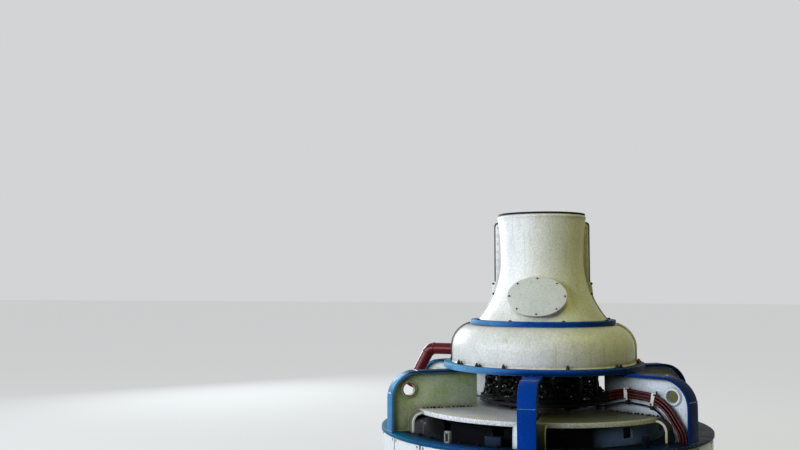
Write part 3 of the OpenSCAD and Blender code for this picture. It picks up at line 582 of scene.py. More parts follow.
def armFlange(a):
    centre = (a["outer"] - a["corner"], a["top"] - a["corner"])
    strip = ([(a["inner"], a["top"])] + arcPoints(centre, a["corner"], 90, 0, 28)
             + [(a["outer"], a["foot"]), (a["outer"] - a["flange"], a["foot"])]
             + arcPoints(centre, a["corner"] - a["flange"], 0, 90,
                         28) + [(a["inner"], a["top"] - a["flange"])])
    return softened(plate(strip, a["flangeWide"]), 0.003, 3)


def armBeads(a):
    # weld beads where the web meets the flange, the shelf, the leg and the collars
    centre = (a["outer"] - a["corner"], a["top"] - a["corner"])
    legCentre = (a["shelfRadius"], a["legTop"] - a["legBend"])
    beads = []
    for side in (-1, 1):
        y = side * (a["web"] / 2 + a["bead"] * 0.4)
        flat = [arcPoints(centre, a["corner"] - a["flange"] - 0.002, 0, 90, 40)
                + [(centre[0] - 0.012 * k, a["top"] - a["flange"] - 0.002) for k in range(1, 42)],
                [(a["outer"] - a["flange"] - 0.002, a["foot"] + 0.012 * k) for k in range(22)],
                [(a["inner"] + 0.012 * k, a["shelfTop"] + 0.002) for k in range(41)],
                arcPoints(legCentre, a["legBend"] + 0.002, 90, 0, 14)
                + [(a["legFace"] + 0.002, z) for z in (0.46, 0.44, 0.42, 0.40)],
                [(a["legFace"] + 0.012 * k, a["foot"] + 0.003) for k in range(12)]]
        beads += [[(x, y, z) for x, z in path] for path in flat]
        collar = arcPoints(a["hole"], a["collar"] + 0.002, 0, 366, 61)
        beads.append([(x, side * (a["web"] / 2 + 0.001), z) for x, z in collar])
    return beads


def buildArms(a):
    edge = a["flangeWide"] / 2 - 0.004
    across = [-edge + 2 * edge * k / 12 for k in range(13)]
    seams = [[(a["outer"] - 0.0008, y, a["seam"]) for y in across],
             [(a["outer"] - a["corner"], y, a["top"] - 0.0008) for y in across],
             [(a["outer"] - 0.002, y, a["foot"] + 0.002) for y in across]]
    for azimuth, name in zip(a["azimuths"], a["names"]):
        turn = Matrix.Rotation(rad(azimuth), 3, "Z")
        # pale lit paint on the right arms, painted shade on the front and front-left arms, a middle tone on
        # the back arms
        paint = litWebPaint if name.endswith("right") else backPaint if name.startswith("back") else shadedWebPaint
        piece(name + "Web", turnTo(armWeb(a), azimuth), paint, [name + "_web"], "web_paint")
        piece(name + "FlangeStrip", turnTo(armFlange(a), azimuth), bluePaint,
              [name + "_flange"], "blue_paint")
        tube(name + "WebBeads", [[turn @ Vector(p) for p in path] for path in armBeads(a)], a["bead"],
             paint, 2,
             slot="web_paint", wobble=0.22)
        tube(name + "SeamBeads", [[turn @ Vector(p) for p in path] for path in seams], 0.0034, seamPaint, 2,
             slot="blue_paint", wobble=0.3)
    # rust where a shackle has worn the collars of the left arm
    turn = Matrix.Rotation(rad(210), 3, "Z")
    worn = [[turn @ Vector((x, side * (a["web"] / 2 + a["collarProud"]), z))
             for x, z in arcPoints(a["hole"], a["holeRadius"] + 0.005, 0, 366, 61)] for side in (-1, 1)]
    tube("wornCollarRims", worn, 0.0038, rustyBolt, 2, slot="web_paint", wobble=0.35)
    centre = (a["shelfRadius"], a["legTop"] - a["legBend"])
    start = a["shelfRadius"] - 0.008
    strip = ([(start, a["legTop"])] + arcPoints(centre, a["legBend"], 90, 0, 16)
             + [(a["legFace"], a["foot"]), (a["legFace"] - a["legThick"], a["foot"])]
             + arcPoints(centre, a["legBend"] - a["legThick"], 0, 90, 16)
             + [(start, a["legTop"] - a["legThick"])])
    # faces in painted shade, olive or dark on the shaded sides, the two long edges in the plain cream coat
    rim = 0.007
    faces = [turnTo(softened(plate(strip, a["legWide"] - 2 * rim), 0.0008, 1), azimuth)
             for azimuth in a["azimuths"]]
    piece("legFlangeFaces", gathered(faces), shadedLegPaint, slot="cream_paint")
    rims = []
    for azimuth in a["azimuths"]:
        for side in (-1, 1):
            bar = plate(strip, rim)
            bmesh.ops.translate(bar, verts=bar.verts, vec=(0, side * (a["legWide"] - rim) / 2, 0))
            rims.append(turnTo(softened(bar, 0.0025, 2, 50), azimuth))
    piece("legFlangeStrips", gathered(rims), creamPaint, ["leg_flanges"], "cream_paint")
    nuts = bmesh.new()
    for azimuth in a["azimuths"]:
        for side in (-1, 1):
            for k in range(14):
                place = swing(azimuth, "Z") @ Matrix.Translation(
                    (0.64 + 0.031 * k + random.uniform(-0.006, 0.006),
                     side * (a["web"] / 2 + 0.017 + random.uniform(0, 0.006)), a["shelfTop"]))
                bolt(nuts, place, random.uniform(0.008, 0.0115), stud=random.uniform(0.002, 0.007))
    piece("shelfNuts", nuts, boltSteel, slot="shaft_steel")


# shelf

shelf = {"radius": 1.074, "hole": 0.390, "top": 0.568, "low": 0.533, "thick": 0.016}


def buildShelf(s):
    profile = [(s["hole"], s["top"] - s["thick"]), (s["radius"] - s["thick"], s["top"] - s["thick"]),
               (s["radius"] - s["thick"], s["low"]), (s["radius"], s["low"]), (s["radius"], s["top"]),
               (s["hole"], s["top"])]
    piece("shelfPlate", softened(turned(profile, 160), 0.0035, 3), shelfPaint, ["shelf_disc"], "cream_paint")


# rings, drum and hood

lowerRing = {"outer": 0.814, "inner": 0.600, "low": 0.865, "high": 0.911, "boltRadius": 0.765, "size": 0.0155,
             "bolts": ((-144.4, 1.3), (-140.8, 0.7), (-126.2, 0.9), (-123.8, 0.5), (-107.6, 1.1), (-71.2, 1.2),
                       (-38.4, 0.9), (-34.8, 0.7), (38, 1.1), (66, 1.1), (104, 1.2), (120, 0.8),
                       (158, 1.0), (178, 1.1)),
             "rusty": -0.8}
upperRing = {"outer": 0.592, "inner": 0.470, "low": 1.217, "high": 1.255, "boltRadius": 0.566, "size": 0.014,
             "screws": (-149.5, -111, -68.5, -22.5, 20, 62, 105, 152)}


def buildRings(low, up):
    piece("lowerRingPlate", squareRing(low["inner"], low["outer"], low["low"], low["high"], 0.005), discBlue,
          ["lower_ring"], "blue_paint")
    piece("upperRingPlate", squareRing(up["inner"], up["outer"], up["low"], up["high"], 0.005), discBlue,
          ["upper_ring"], "blue_paint")
    nuts = bmesh.new()
    for azimuth, head in low["bolts"]:
        bolt(nuts, around(low["boltRadius"], azimuth, low["high"] - 0.001), low["size"], stud=0.012, head=head)
    piece("lowerRingNuts", nuts, boltSteel, slot="shaft_steel")
    eye = bmesh.new()
    bolt(eye, around(low["boltRadius"], low["rusty"], low["high"] - 0.001), 0.020, stud=0.010, head=1.1)
    piece("rustyRingNut", eye, rustyBolt, slot="shaft_steel")
    small = bmesh.new()
    for azimuth in up["screws"]:
        bolt(small, around(up["boltRadius"], azimuth, up["high"] - 0.001), up["size"])
    piece("upperRingScrews", small, boltSteel, slot="shaft_steel")


jointTurn = 6


def jointPlates(outline, near, far):
    # upright plates between two depths, left and right of the shaft, turned into the joint's plane
    sides = []
    for side in (-1, 1):
        one = plate([(side * x, z) for x, z in outline], abs(far - near))
        bmesh.ops.translate(one, verts=one.verts, vec=(0, (near + far) / 2, 0))
        sides.append(softened(one, 0.002))
    return turnTo(gathered(sides), jointTurn)


def onJoint(x, face, z, depth=0.0175):
    # a place on the outer face of a joint flange
    return swing(jointTurn, "Z") @ pose((x, face * depth, z), (0, face, 0))


drum = {"radius": 0.738, "shoulder": 0.190, "low": 0.911, "top": 1.217, "inner": 0.470, "wall": 0.014,
        "lip": 0.020, "trim": 0.011, "plate": 0.018, "gasket": 0.0045}


def drumProfile(d, grow=0.0):
    centre = (d["radius"] - d["shoulder"], d["top"] - d["shoulder"])
    return ([(d["radius"] + grow, d["low"])] + arcPoints(centre, d["shoulder"] + grow, 0, 90, 18)
            + [(d["inner"], d["top"] + grow)])


def drumLip(d, outer, end):
    # outline of the joint flange, up the side and over the shoulder
    centre = (d["radius"] - d["shoulder"], d["top"] - d["shoulder"])
    return ([(d["radius"] + outer, d["low"])] + arcPoints(centre, d["shoulder"] + outer, 0, end, 14)
            + arcPoints(centre, d["shoulder"] - 0.006, end, 0, 14) + [(d["radius"] - 0.006, d["low"])])


def buildDrum(d):
    section = drumProfile(d) + list(reversed(drumProfile(d, -d["wall"])))
    for name, node, start, side in (("drumBackShell", "drum_back_half", 0, 1),
                                    ("drumFrontShell", "drum_front_half", 180, -1)):
        shell = softened(turned(section, 96, 179.9, start + jointTurn + 0.05), 0.003)
        plates = jointPlates(drumLip(d, d["lip"] - d["trim"], 74), side * d["gasket"], side * d["plate"])
        piece(name, gathered([shell, plates]), creamPaint, [node], "cream_paint")
    seal = jointPlates(drumLip(d, d["lip"], 76), -d["gasket"], d["gasket"])
    strip = seal.copy()
    for half, side in ((seal, 1), (strip, -1)):
        bmesh.ops.delete(half, geom=[v for v in half.verts if v.co.x * side > 0], context="VERTS")
    piece("drumJointSeal", seal, gasketDark, slot="dark_paint")
    # the seal shows dark on the left half only; the right half is cream
    piece("drumJointStrip", strip, stripPaint, slot="cream_paint")
    foot = turned([(d["radius"] - 0.002, d["low"]), (d["radius"] + 0.010, d["low"]),
                   (d["radius"] + 0.006, d["low"] + 0.008), (d["radius"] - 0.002, d["low"] + 0.010)], 144)
    piece("drumFootSeal", foot, creamPaint, slot="cream_paint")
    bolts = bmesh.new()
    for side in (-1, 1):
        for angle in (8, 24, 40, 56):
            x = d["radius"] - d["shoulder"] + (d["shoulder"] + 0.003) * math.cos(rad(angle))
            z = d["top"] - d["shoulder"] + (d["shoulder"] + 0.003) * math.sin(rad(angle))
            for face in (-1, 1):
                bolt(bolts, onJoint(side * x, face, z), 0.006)
    piece("drumJointBolts", bolts, creamPaint, slot="cream_paint")


hood = {"foot": 0.520, "waist": 0.340, "topRadius": 0.365, "low": 1.255, "waistHeight": 1.745, "top": 2.108,
        "wall": 0.014, "edge": 0.024, "straight": 0.392, "step": 0.414, "straightLow": 1.565,
        "straightHigh": 2.056,
        "lip": 0.012, "corner": 0.030, "plate": 0.018, "gasket": 0.0045, "trim": 0.012, "capRadius": 0.357,
        "capHigh": 0.014}


def hoodRadius(z):
    h = hood
    if z <= h["waistHeight"]:
        rise, bow, drop = h["waistHeight"] - h["low"], h["foot"] - h["waist"], h["waistHeight"] - z
    else:
        rise, bow, drop = h["top"] - h["waistHeight"], h["topRadius"] - h["waist"], z - h["waistHeight"]
    bend = (rise * rise + bow * bow) / (2 * bow)
    return h["waist"] + bend - math.sqrt(bend * bend - drop * drop)


def hoodProfile(h, grow=0.0, steps=30):
    heights = [h["low"] + (h["waistHeight"] - h["low"]) * i / steps for i in range(steps)]
    heights += [h["waistHeight"] + (h["top"] - h["edge"] - h["waistHeight"]) * i / 10 for i in range(11)]
    return [(hoodRadius(z) + grow, z) for z in heights]


def steppedHeights(low, high, steps):
    return [low + (high - low) * i / steps for i in range(steps + 1)]


def lowerLip(h, trim=0.0):
    # joint flange below the step: upright to where it meets the flare, then a narrow lip along it
    heights = steppedHeights(h["low"], h["straightLow"], 16)
    outer = [(max(hoodRadius(z) + h["lip"], h["step"] - 0.12 * max(0, z - 1.46)) - trim, z) for z in heights]
    return outer + [(hoodRadius(z) - 0.007, z) for z in reversed(heights)]


def upperLip(h, trim=0.0):
    # joint flange above the step, with a straight edge and a rounded corner
    x, top = h["straight"] - trim, h["straightHigh"] - trim
    outer = [(x, h["straightLow"])] + arcPoints((x - h["corner"], top - h["corner"]), h["corner"], 0, 90, 8)
    return outer + [(hoodRadius(z) - 0.007, z) for z in reversed(steppedHeights(h["straightLow"], top, 14))]


def buildHood(h):
    rim = arcPoints((h["topRadius"] - h["edge"], h["top"] - h["edge"]), h["edge"], 8, 90, 8)
    inner = [(x, z) for x, z in reversed(hoodProfile(h, -h["wall"])) if z < h["top"] - h["wall"]]
    profile = hoodProfile(h) + rim + [(0.02, h["top"]), (0.02, h["top"] - h["wall"]),
                                      (inner[0][0], h["top"] - h["wall"])] + inner
    for name, node, start, side in (("hoodBackShell", "hood_back_half", 0, 1),
                                    ("hoodFrontShell", "hood_front_half", 180, -1)):
        shell = softened(turned(profile, 90, 179.9, start + jointTurn + 0.05), 0.002, limit=50)
        upper = jointPlates(upperLip(h, h["trim"]), side * h["gasket"], side * h["plate"])
        lower = jointPlates(lowerLip(h), side * 0.0006, side * h["plate"])
        piece(name, gathered([shell, upper, lower]), creamPaint, [node], "cream_paint")
    piece("hoodJointSeal", jointPlates(upperLip(h), -h["gasket"], h["gasket"]), gasketDark, slot="dark_paint")
    painted, dark = bmesh.new(), bmesh.new()
    for side in (-1, 1):
        for k in range(7):
            for face in (-1, 1):
                bolt(painted, onJoint(side * 0.368, face, 1.61 + 0.067 * k), 0.008)
        for z in (1.548, 1.464):
            for face in (-1, 1):
                bolt(dark, onJoint(side * 0.402, face, z), 0.009, stud=0.004)
        for z in (1.400, 1.345, 1.290):
            for face in (-1, 1):
                bolt(painted, onJoint(side * (hoodRadius(z) + 0.003), face, z), 0.006)
    piece("jointBoltsPainted", painted, creamPaint, slot="cream_paint")
    piece("jointBoltsDark", dark, boltSteel, slot="shaft_steel")
    cap = turned([(0.0005, h["top"]), (h["capRadius"], h["top"]),
                  (h["capRadius"], h["top"] + h["capHigh"] - 0.0006),
                  (0.0005, h["top"] + h["capHigh"] - 0.0006)], 128)
    piece("hoodTopPlate", softened(cap, 0.003, 3), darkPaint, ["hood_cap"], "dark_paint")
    heads = bmesh.new()
    for k in range(12):
        disc(heads, 0.011, 0.0008, around(0.318, 15 + 30 * k, h["top"] + h["capHigh"] - 0.0009), 20)
    piece("topPlateScrews", heads, boltSteel, slot="shaft_steel")


oval = {"out": 0.474, "height": 1.451, "lean": 24, "wide": 0.466, "high": 0.336, "thick": 0.016, "neck": 0.120,
        "bolt": 0.0085, "inset": 0.017}


def buildOval(o):
    # local Z points out of the cover's face
    place = slide(0, -o["out"], o["height"]) @ swing(90 - o["lean"], "X")

    def slab(top, depth, trim, width):
        bm = bmesh.new()
        scaled = Matrix.Diagonal((o["wide"] / 2 - trim, o["high"] / 2 - trim, 1, 1))
        bmesh.ops.create_circle(bm, cap_ends=True, segments=96, radius=1,
                                matrix=place @ slide(0, 0, top - depth) @ scaled)
        up = bmesh.ops.extrude_face_region(bm, geom=bm.faces[:])
        moved = [g for g in up["geom"] if isinstance(g, bmesh.types.BMVert)]
        bmesh.ops.translate(bm, verts=moved, vec=place.to_3x3() @ Vector((0, 0, depth)))
        bmesh.ops.recalc_face_normals(bm, faces=bm.faces)
        return softened(bm, width, 3, 50)

    piece("ovalNeck", slab(-o["thick"] - 0.003, o["neck"], 0.004, 0.003), creamPaint, ["oval_seat"],
          "cream_paint")
    piece("ovalSeal", slab(-o["thick"] + 0.0005, 0.004, 0.003, 0.0008), gasketDark, slot="dark_paint")
    piece("ovalPlate", slab(0.0, o["thick"], 0.0, 0.004), greyPaint, ["oval_cover"], "grey_paint")
    bolts, washers = bmesh.new(), bmesh.new()
    for k in range(8):
        angle = rad(90 + 45 * k)
        spot = place @ slide((o["wide"] / 2 - o["inset"]) * math.cos(angle),
                                           (o["high"] / 2 - o["inset"]) * math.sin(angle), 0)
        disc(washers, o["bolt"] * 1.25, 0.0015, spot, 24)
        bolt(bolts, spot @ slide(0, 0, 0.001), o["bolt"], washer=False, head=0.4)
    piece("ovalWashers", washers, whitePaint, slot="grey_paint")
    piece("ovalBolts", bolts, boltSteel, slot="shaft_steel")


# brush gear

brush = {"shaft": 0.170, "slip": 0.330, "rings": 3, "ringThick": 0.034, "ringGap": 0.026, "base": 0.622,
         "sleeve": 0.240, "studs": 12, "studCircle": 0.440, "stud": 0.013, "rockerLow": 0.598,
         "rockerHigh": 0.622,
         "rockerIn": 0.395, "rockerOut": 0.518, "boxWide": 0.064, "studTop": 0.828, "tieHigh": 0.844}


def ringHeight(b, k):
    return b["base"] + b["ringGap"] + k * (b["ringThick"] + b["ringGap"])


def buildSlipRings(b):
    rings = []
    for k in range(b["rings"]):
        z = ringHeight(b, k)
        profile = [(b["sleeve"], z)]
        # grooved running face
        for g in range(5):
            low = z + b["ringThick"] * g / 5
            profile += [(b["slip"], low + 0.0004), (b["slip"], low + 0.0050),
                        (b["slip"] - 0.002, low + 0.0056),
                        (b["slip"] - 0.002, low + 0.0064)]
        profile += [(b["slip"] - 0.002, z + b["ringThick"]), (b["sleeve"], z + b["ringThick"])]
        rings.append(turned(profile, 120))
    piece("slipRingSet", gathered(rings), ringBrass, ["slip_rings"], "ring_brass")
    top = ringHeight(b, b["rings"])
    sleeve = [(b["shaft"] + 0.0005, b["base"])]
    for k in range(b["rings"] + 1):
        low = b["base"] if k == 0 else ringHeight(b, k - 1) + b["ringThick"]
        high = ringHeight(b, k) if k < b["rings"] else top
        sleeve += [(b["sleeve"] + 0.030, low + 0.002), (b["sleeve"] + 0.034, (low + high) / 2),
                   (b["sleeve"] + 0.030, high - 0.002)]
    sleeve += [(b["shaft"] + 0.0005, top)]
    piece("slipRingSleeve", turned(sleeve, 96), blackBake, slot="brush_insulation")


def buildRocker(b):
    rocker = squareRing(b["rockerIn"], b["rockerOut"], b["rockerLow"], b["rockerHigh"], 0.003, 120)
    for k in range(6):
        disc(rocker, 0.018, 0.0305, around(b["studCircle"], 60 * k, shelf["top"]), 24)
        bolt(rocker, around(b["studCircle"], 60 * k, b["rockerHigh"]), 0.014, stud=0.006)
    piece("rockerRingBody", rocker, darkPaint, ["rocker_ring"], "dark_paint")
    tie = squareRing(b["studCircle"] - 0.026, b["studCircle"] + 0.026, b["studTop"], b["tieHigh"], 0.002, 120)
    for i in range(b["studs"]):
        bolt(tie, around(b["studCircle"], (i + 0.5) * 360 / b["studs"], b["tieHigh"] - 0.0005), 0.014,
             stud=0.004)
    piece("studTieRing", tie, darkPaint, ["stud_tie_ring"], "shaft_steel")


def buildBrushGear(b):
    dress("shaft", shaftSteel)
    buildSlipRings(b)
    buildRocker(b)
    springs, leads, tails = [], [], []
    studs, guards, boxes, carbon, levers, lugs = (bmesh.new() for _ in range(6))
    for i in range(b["studs"]):
        azimuth = (i + 0.5) * 360 / b["studs"]
        turn = swing(azimuth, "Z")
        stud = turn @ slide(b["studCircle"], 0, b["base"])
        disc(studs, b["stud"], b["studTop"] - b["base"], stud, 24)
        bolt(studs, stud, 0.020)
        for k in range(b["rings"] + 1):
            low = b["base"] + 0.001 if k == 0 else ringHeight(b, k - 1) + b["ringThick"]
            high = ringHeight(b, k) if k < b["rings"] else b["studTop"] - 0.018
            # ribbed insulating sleeves on the stud
            ribs = max(2, int((high - low) / 0.009))
            for r in range(ribs):
                at = turn @ slide(b["studCircle"], 0, low + (high - low) * r / ribs)
                disc(guards, 0.019, (high - low) / ribs * 0.55, at, 20)
                disc(guards, 0.0155, (high - low) / ribs, at, 20)
        for k in range(b["rings"]):
            middle = ringHeight(b, k) + b["ringThick"] / 2
            tall = b["ringThick"]
            for side in (-1, 1):
                # brass box with a slot for one brush
                wall = turn @ slide(b["slip"] + 0.028, side * 0.016, middle)
                for y in (-0.0125, 0.0125):
                    block(boxes, (0.040, 0.003, tall - 0.002), wall @ slide(0, y, 0))
                for z in (tall / 2 - 0.0025, -tall / 2 + 0.0025):
                    block(boxes, (0.040, 0.028, 0.003), wall @ slide(0, 0, z))
                block(carbon, (0.050, 0.021, tall - 0.009), wall @ slide(-0.0025, 0, 0))
                block(levers, (0.034, 0.008, 0.004), wall @ slide(0.030, 0, 0.007) @ Matrix.Rotation(
                    rad(-18), 4, "Y"))
                disc(lugs, 0.006, 0.006, wall @ slide(0.055, 0, tall / 2 - 0.001), 6)
                coil = []
                for n in range(38):
                    t = 0.45 * n
                    size = 0.0085 * (1 - t / 40)
                    coil.append(wall @ Vector((0.036 + size * math.cos(t), side * (0.0009 * t - 0.006),
                                               0.004 + size * math.sin(t))))
                springs.append(coil)
                start = wall @ Vector((0.022, 0, tall / 2 - 0.004))
                end = wall @ Vector((0.078, -side * 0.012, tall / 2 - 0.001))
                sag = random.uniform(0.010, 0.022)
                leads.append([start.lerp(end, t / 10) + Vector((0, 0, math.sin(math.pi * t / 10) * sag))
                              for t in range(11)])
                # insulated tail that hangs from the lug to the bus cables below
                fall = turn @ slide(0, side * 0.020, 0)
                bulge = random.uniform(0.85, 1.1) * (0.056, 0.042, 0.030)[k]
                drop = ringHeight(b, k) - b["base"] + 0.004
                if k and abs(azimuth if azimuth < 180 else azimuth - 360) < 50:
                    bulge *= 0.3
                tails.append([fall @ Vector((b["studCircle"] + 0.004 + bulge * math.sin(math.pi * t / 12),
                                             0.010 * math.sin(math.pi * t / 6 + k),
                                             ringHeight(b, k) + tall * 0.6 - (drop + tall * 0.5) * t / 12))
                              for t in range(13)])
            block(boxes, (0.036, b["boxWide"], tall * 0.55),
                  turn @ slide(b["studCircle"] - 0.030, 0, middle))
            disc(boxes, 0.020, tall * 0.9, turn @ slide(b["studCircle"], 0, middle - tall * 0.45), 24)
    softened(boxes, 0.0008, 1, 60)
    piece("brushStudSet", studs, shaftSteel, ["brush_studs"], "shaft_steel")
    piece("studInsulators", guards, blackBake, slot="brush_insulation")
    piece("brushHolders", boxes, holderBronze, ["brush_boxes"], "brush_insulation")
    piece("carbonBrushes", carbon, blackBake, slot="brush_insulation")
    piece("brushLevers", levers, shaftSteel, slot="shaft_steel")
    piece("leadLugs", lugs, tinPlate, slot="shaft_steel")
    tube("brushSprings", springs, 0.0011, shaftSteel, 1, slot="shaft_steel")
    tube("brushLeads", leads, 0.0022, copperLead, 1, slot="ring_brass")
    tube("leadTails", tails, 0.0055, blackRubber, 2, slot="black_conduit")
    buildGearCables(b, gear)


gear = {"rings": ((0.500, 0.634), (0.484, 0.645)), "ringSize": 0.0085,
        "loops": ((0.672, 0.044), (0.700, 0.040), (0.735, 0.032), (0.770, 0.024), (0.815, 0.012)),
        "loopRadius": 0.445, "loopSize": 0.0068, "loopSteps": 14, "clamps": 150, "pins": 64,
        "coilAt": (0.476, 0, 0.668), "coilTurn": -37, "coilRadius": 0.027, "leadSize": 0.0042}


def buildGearCables(b, g):
    # two ring cables at the foot, and slack loops between neighbouring studs above them
    cables = []
    for radius, height in g["rings"]:
        cables.append([(radius * math.cos(rad(t)) * (1 + 0.015 * math.sin(rad(t * 11 + 900 * radius))),
                        radius * math.sin(rad(t)) * (1 + 0.015 * math.sin(rad(t * 11 + 900 * radius))),
                        height + 0.009 * math.sin(rad(t * 7 + 900 * height))) for t in range(0, 357, 3)])
    loops, ferrules = [], bmesh.new()
    for i in range(b["studs"]):
        start = (i + 0.5) * 360 / b["studs"]
        for level, (height, bulge) in enumerate(g["loops"]):
            if level > 1 and abs(start % 360 - 360 if start > 180 else start) < 50:
                continue
            sag, lean = random.uniform(0.014, 0.050), random.uniform(-0.012, 0.012)
            span, first = random.uniform(14, 30), start + random.uniform(-4, 10)
            loop = []
            for k in range(g["loopSteps"] + 1):
                share = k / g["loopSteps"]
                azimuth = rad(first + span * share)
                radius = g["loopRadius"] + bulge * math.sin(math.pi * share) * random.uniform(0.85, 1.1)
                loop.append((radius * math.cos(azimuth), radius * math.sin(azimuth),
                             height + lean * share - sag * math.sin(math.pi * share)))
            loops.append(loop)
            if level % 2:
                spot = Vector(loop[random.choice((3, 7, 11))])
                disc(ferrules, 0.0078, 0.009, pose(spot, Vector(loop[-1]) - Vector(loop[0])), 12)
    # clamps, springs' caps and terminal posts that crowd the space between the studs
    crowd = bmesh.new()
    for i in range(g["clamps"]):
        azimuth, height = random.uniform(0, 360), random.uniform(0.645, 0.825)
        slim = abs(azimuth - 360 if azimuth > 180 else azimuth) < 55 and height > 0.70
        reach = 0.418 if slim else 0.470 - 0.25 * max(0, height - 0.72)
        at = around(reach + random.uniform(-0.014, 0.010), azimuth, height) @ Matrix.Rotation(
            random.uniform(0, 6), 4, "Z") @ Matrix.Rotation(random.uniform(-1, 1), 4, "X")
        if i % 3:
            disc(crowd, random.uniform(0.008, 0.015), random.uniform(0.014, 0.034), at,
                 random.choice((6, 8, 16)))
        else:
            block(crowd, [random.uniform(0.012, 0.034) for _ in range(3)], at)
    piece("brushClampSet", softened(crowd, 0.0012, 1, 50), blackBake, slot="brush_insulation")
    marks = bmesh.new()
    for i in range(g["pins"]):
        azimuth, height = random.uniform(0, 360), random.uniform(0.64, 0.81)
        slim = abs(azimuth - 360 if azimuth > 180 else azimuth) < 55 and height > 0.70
        at = around(0.432 if slim else 0.486 - 0.25 * max(0, height - 0.72), azimuth,
                    height) @ Matrix.Rotation(
            random.uniform(0, 6), 4, "Z") @ Matrix.Rotation(random.uniform(-1, 1), 4, "X")
        disc(marks, random.uniform(0.0022, 0.0042), random.uniform(0.003, 0.010), at, 12)
    piece("terminalPins", marks, tinPlate, slot="shaft_steel")
    tube("gearCables", cables, g["ringSize"], blackRubber, 3, slot="black_conduit", wobble=0.25)
    tube("gearLoops", loops, g["loopSize"], blackBake, 2, slot="black_conduit")
    piece("loopFerrules", ferrules, tinPlate, slot="shaft_steel")
    # spare lead coiled up on the right of the front arm
    at = swing(g["coilTurn"], "Z") @ slide(*g["coilAt"])
    coil = []
    for t in range(0, 1260, 15):
        wide = g["coilRadius"] - t * 0.000004
        coil.append(at @ Vector((0.010 * math.sin(rad(t / 3)) + t * 0.000012, wide * math.cos(rad(t)),
                                 wide * math.sin(rad(t)))))
    tube("spareLead", [coil], g["leadSize"], blackBake, 2, slot="black_conduit")


# oil pipes and cable conduit on the right arm

oil = {"radius": 0.011, "pitch": 0.024, "in": 0.534, "out": 1.252, "start": 0.660, "end": 0.413, "slope": 14.5,
       "offset": 0.054, "crest": 19, "drop": 52, "slant": 0.265, "crestBend": 0.555, "dropBend": 0.4,
       "footBend": 0.21, "foot": 0.016, "conduit": 0.007, "conduitDown": 0.068, "clampWide": 0.027,
       "clampPlate": 0.006, "clampHigh": 0.043, "clampLow": 0.050, "clamps": ((0, 0.62, 0), (1, 0.27, -8))}


def runPoints(legs, heading):
    # centre line of a pipe in its own plane: straight legs joined by bends
    x, y, way = 0.0, 0.0, heading
    points = []
    for length, bend, radius in legs:
        for k in range(9):
            points.append((x + length * k / 8 * math.cos(rad(way)), y + length * k / 8 * math.sin(rad(way))))
        x, y = points[-1]
        if bend:
            side = 1 if bend > 0 else -1
            cx, cy = x - side * radius * math.sin(rad(way)), y + side * radius * math.cos(rad(way))
            for k in range(1, 17):
                a = way + bend * k / 16
                points.append((cx + side * radius * math.sin(rad(a)), cy - side * radius * math.cos(rad(a))))
            x, y = points[-1]
            way += bend
    return points


def oilLegs(o):
    # slant, crest, drop along the web and foot; the two lengths between are solved from the ends
    reach = o["out"] - o["in"]
    crest, drop = o["slope"] - o["crest"], o["slope"] - o["crest"] - o["drop"]
    legs = [(o["slant"] * reach, -o["crest"], o["crestBend"] * reach), (0, -o["drop"], o["dropBend"] * reach),
            (0, -90 - drop, o["footBend"] * reach)]
    x, y = runPoints(legs, o["slope"])[-1]
    across, up = reach - x, o["end"] - o["start"] - y
    level = (across * math.sin(rad(drop)) - up * math.cos(rad(drop))) / math.sin(rad(-o["drop"]))
    fall = (up * math.cos(rad(crest)) - across * math.sin(rad(crest))) / math.sin(rad(-o["drop"]))
    return [legs[0], (level, *legs[1][1:]), (fall, *legs[2][1:]), (o["foot"], 0, 0)]


def oilPath(o, shift):
    heading = rad(o["slope"])
    start = Vector((o["in"] - shift * math.sin(heading), o["start"] + shift * math.cos(heading)))
    legs = [(length, bend, radius + shift) for length, bend, radius in oilLegs(o)]
    place = swing(-30, "Z") @ slide(0, -o["offset"], 0)
    return [place @ Vector((start.x + x, 0, start.y + y)) for x, y in runPoints(legs, o["slope"])]


def clampPlace(o, leg, share):
    legs = oilLegs(o)[:leg + 1]
    length, bend, radius = legs[-1]
    legs[-1] = (length, bend * share, radius)
    x, y = runPoints(legs, o["slope"])[-1]
    way = o["slope"] + sum(item[1] for item in legs)
    return (swing(-30, "Z") @ slide(o["in"] + x, -o["offset"], o["start"] + y)
            @ swing(-way, "Y"))


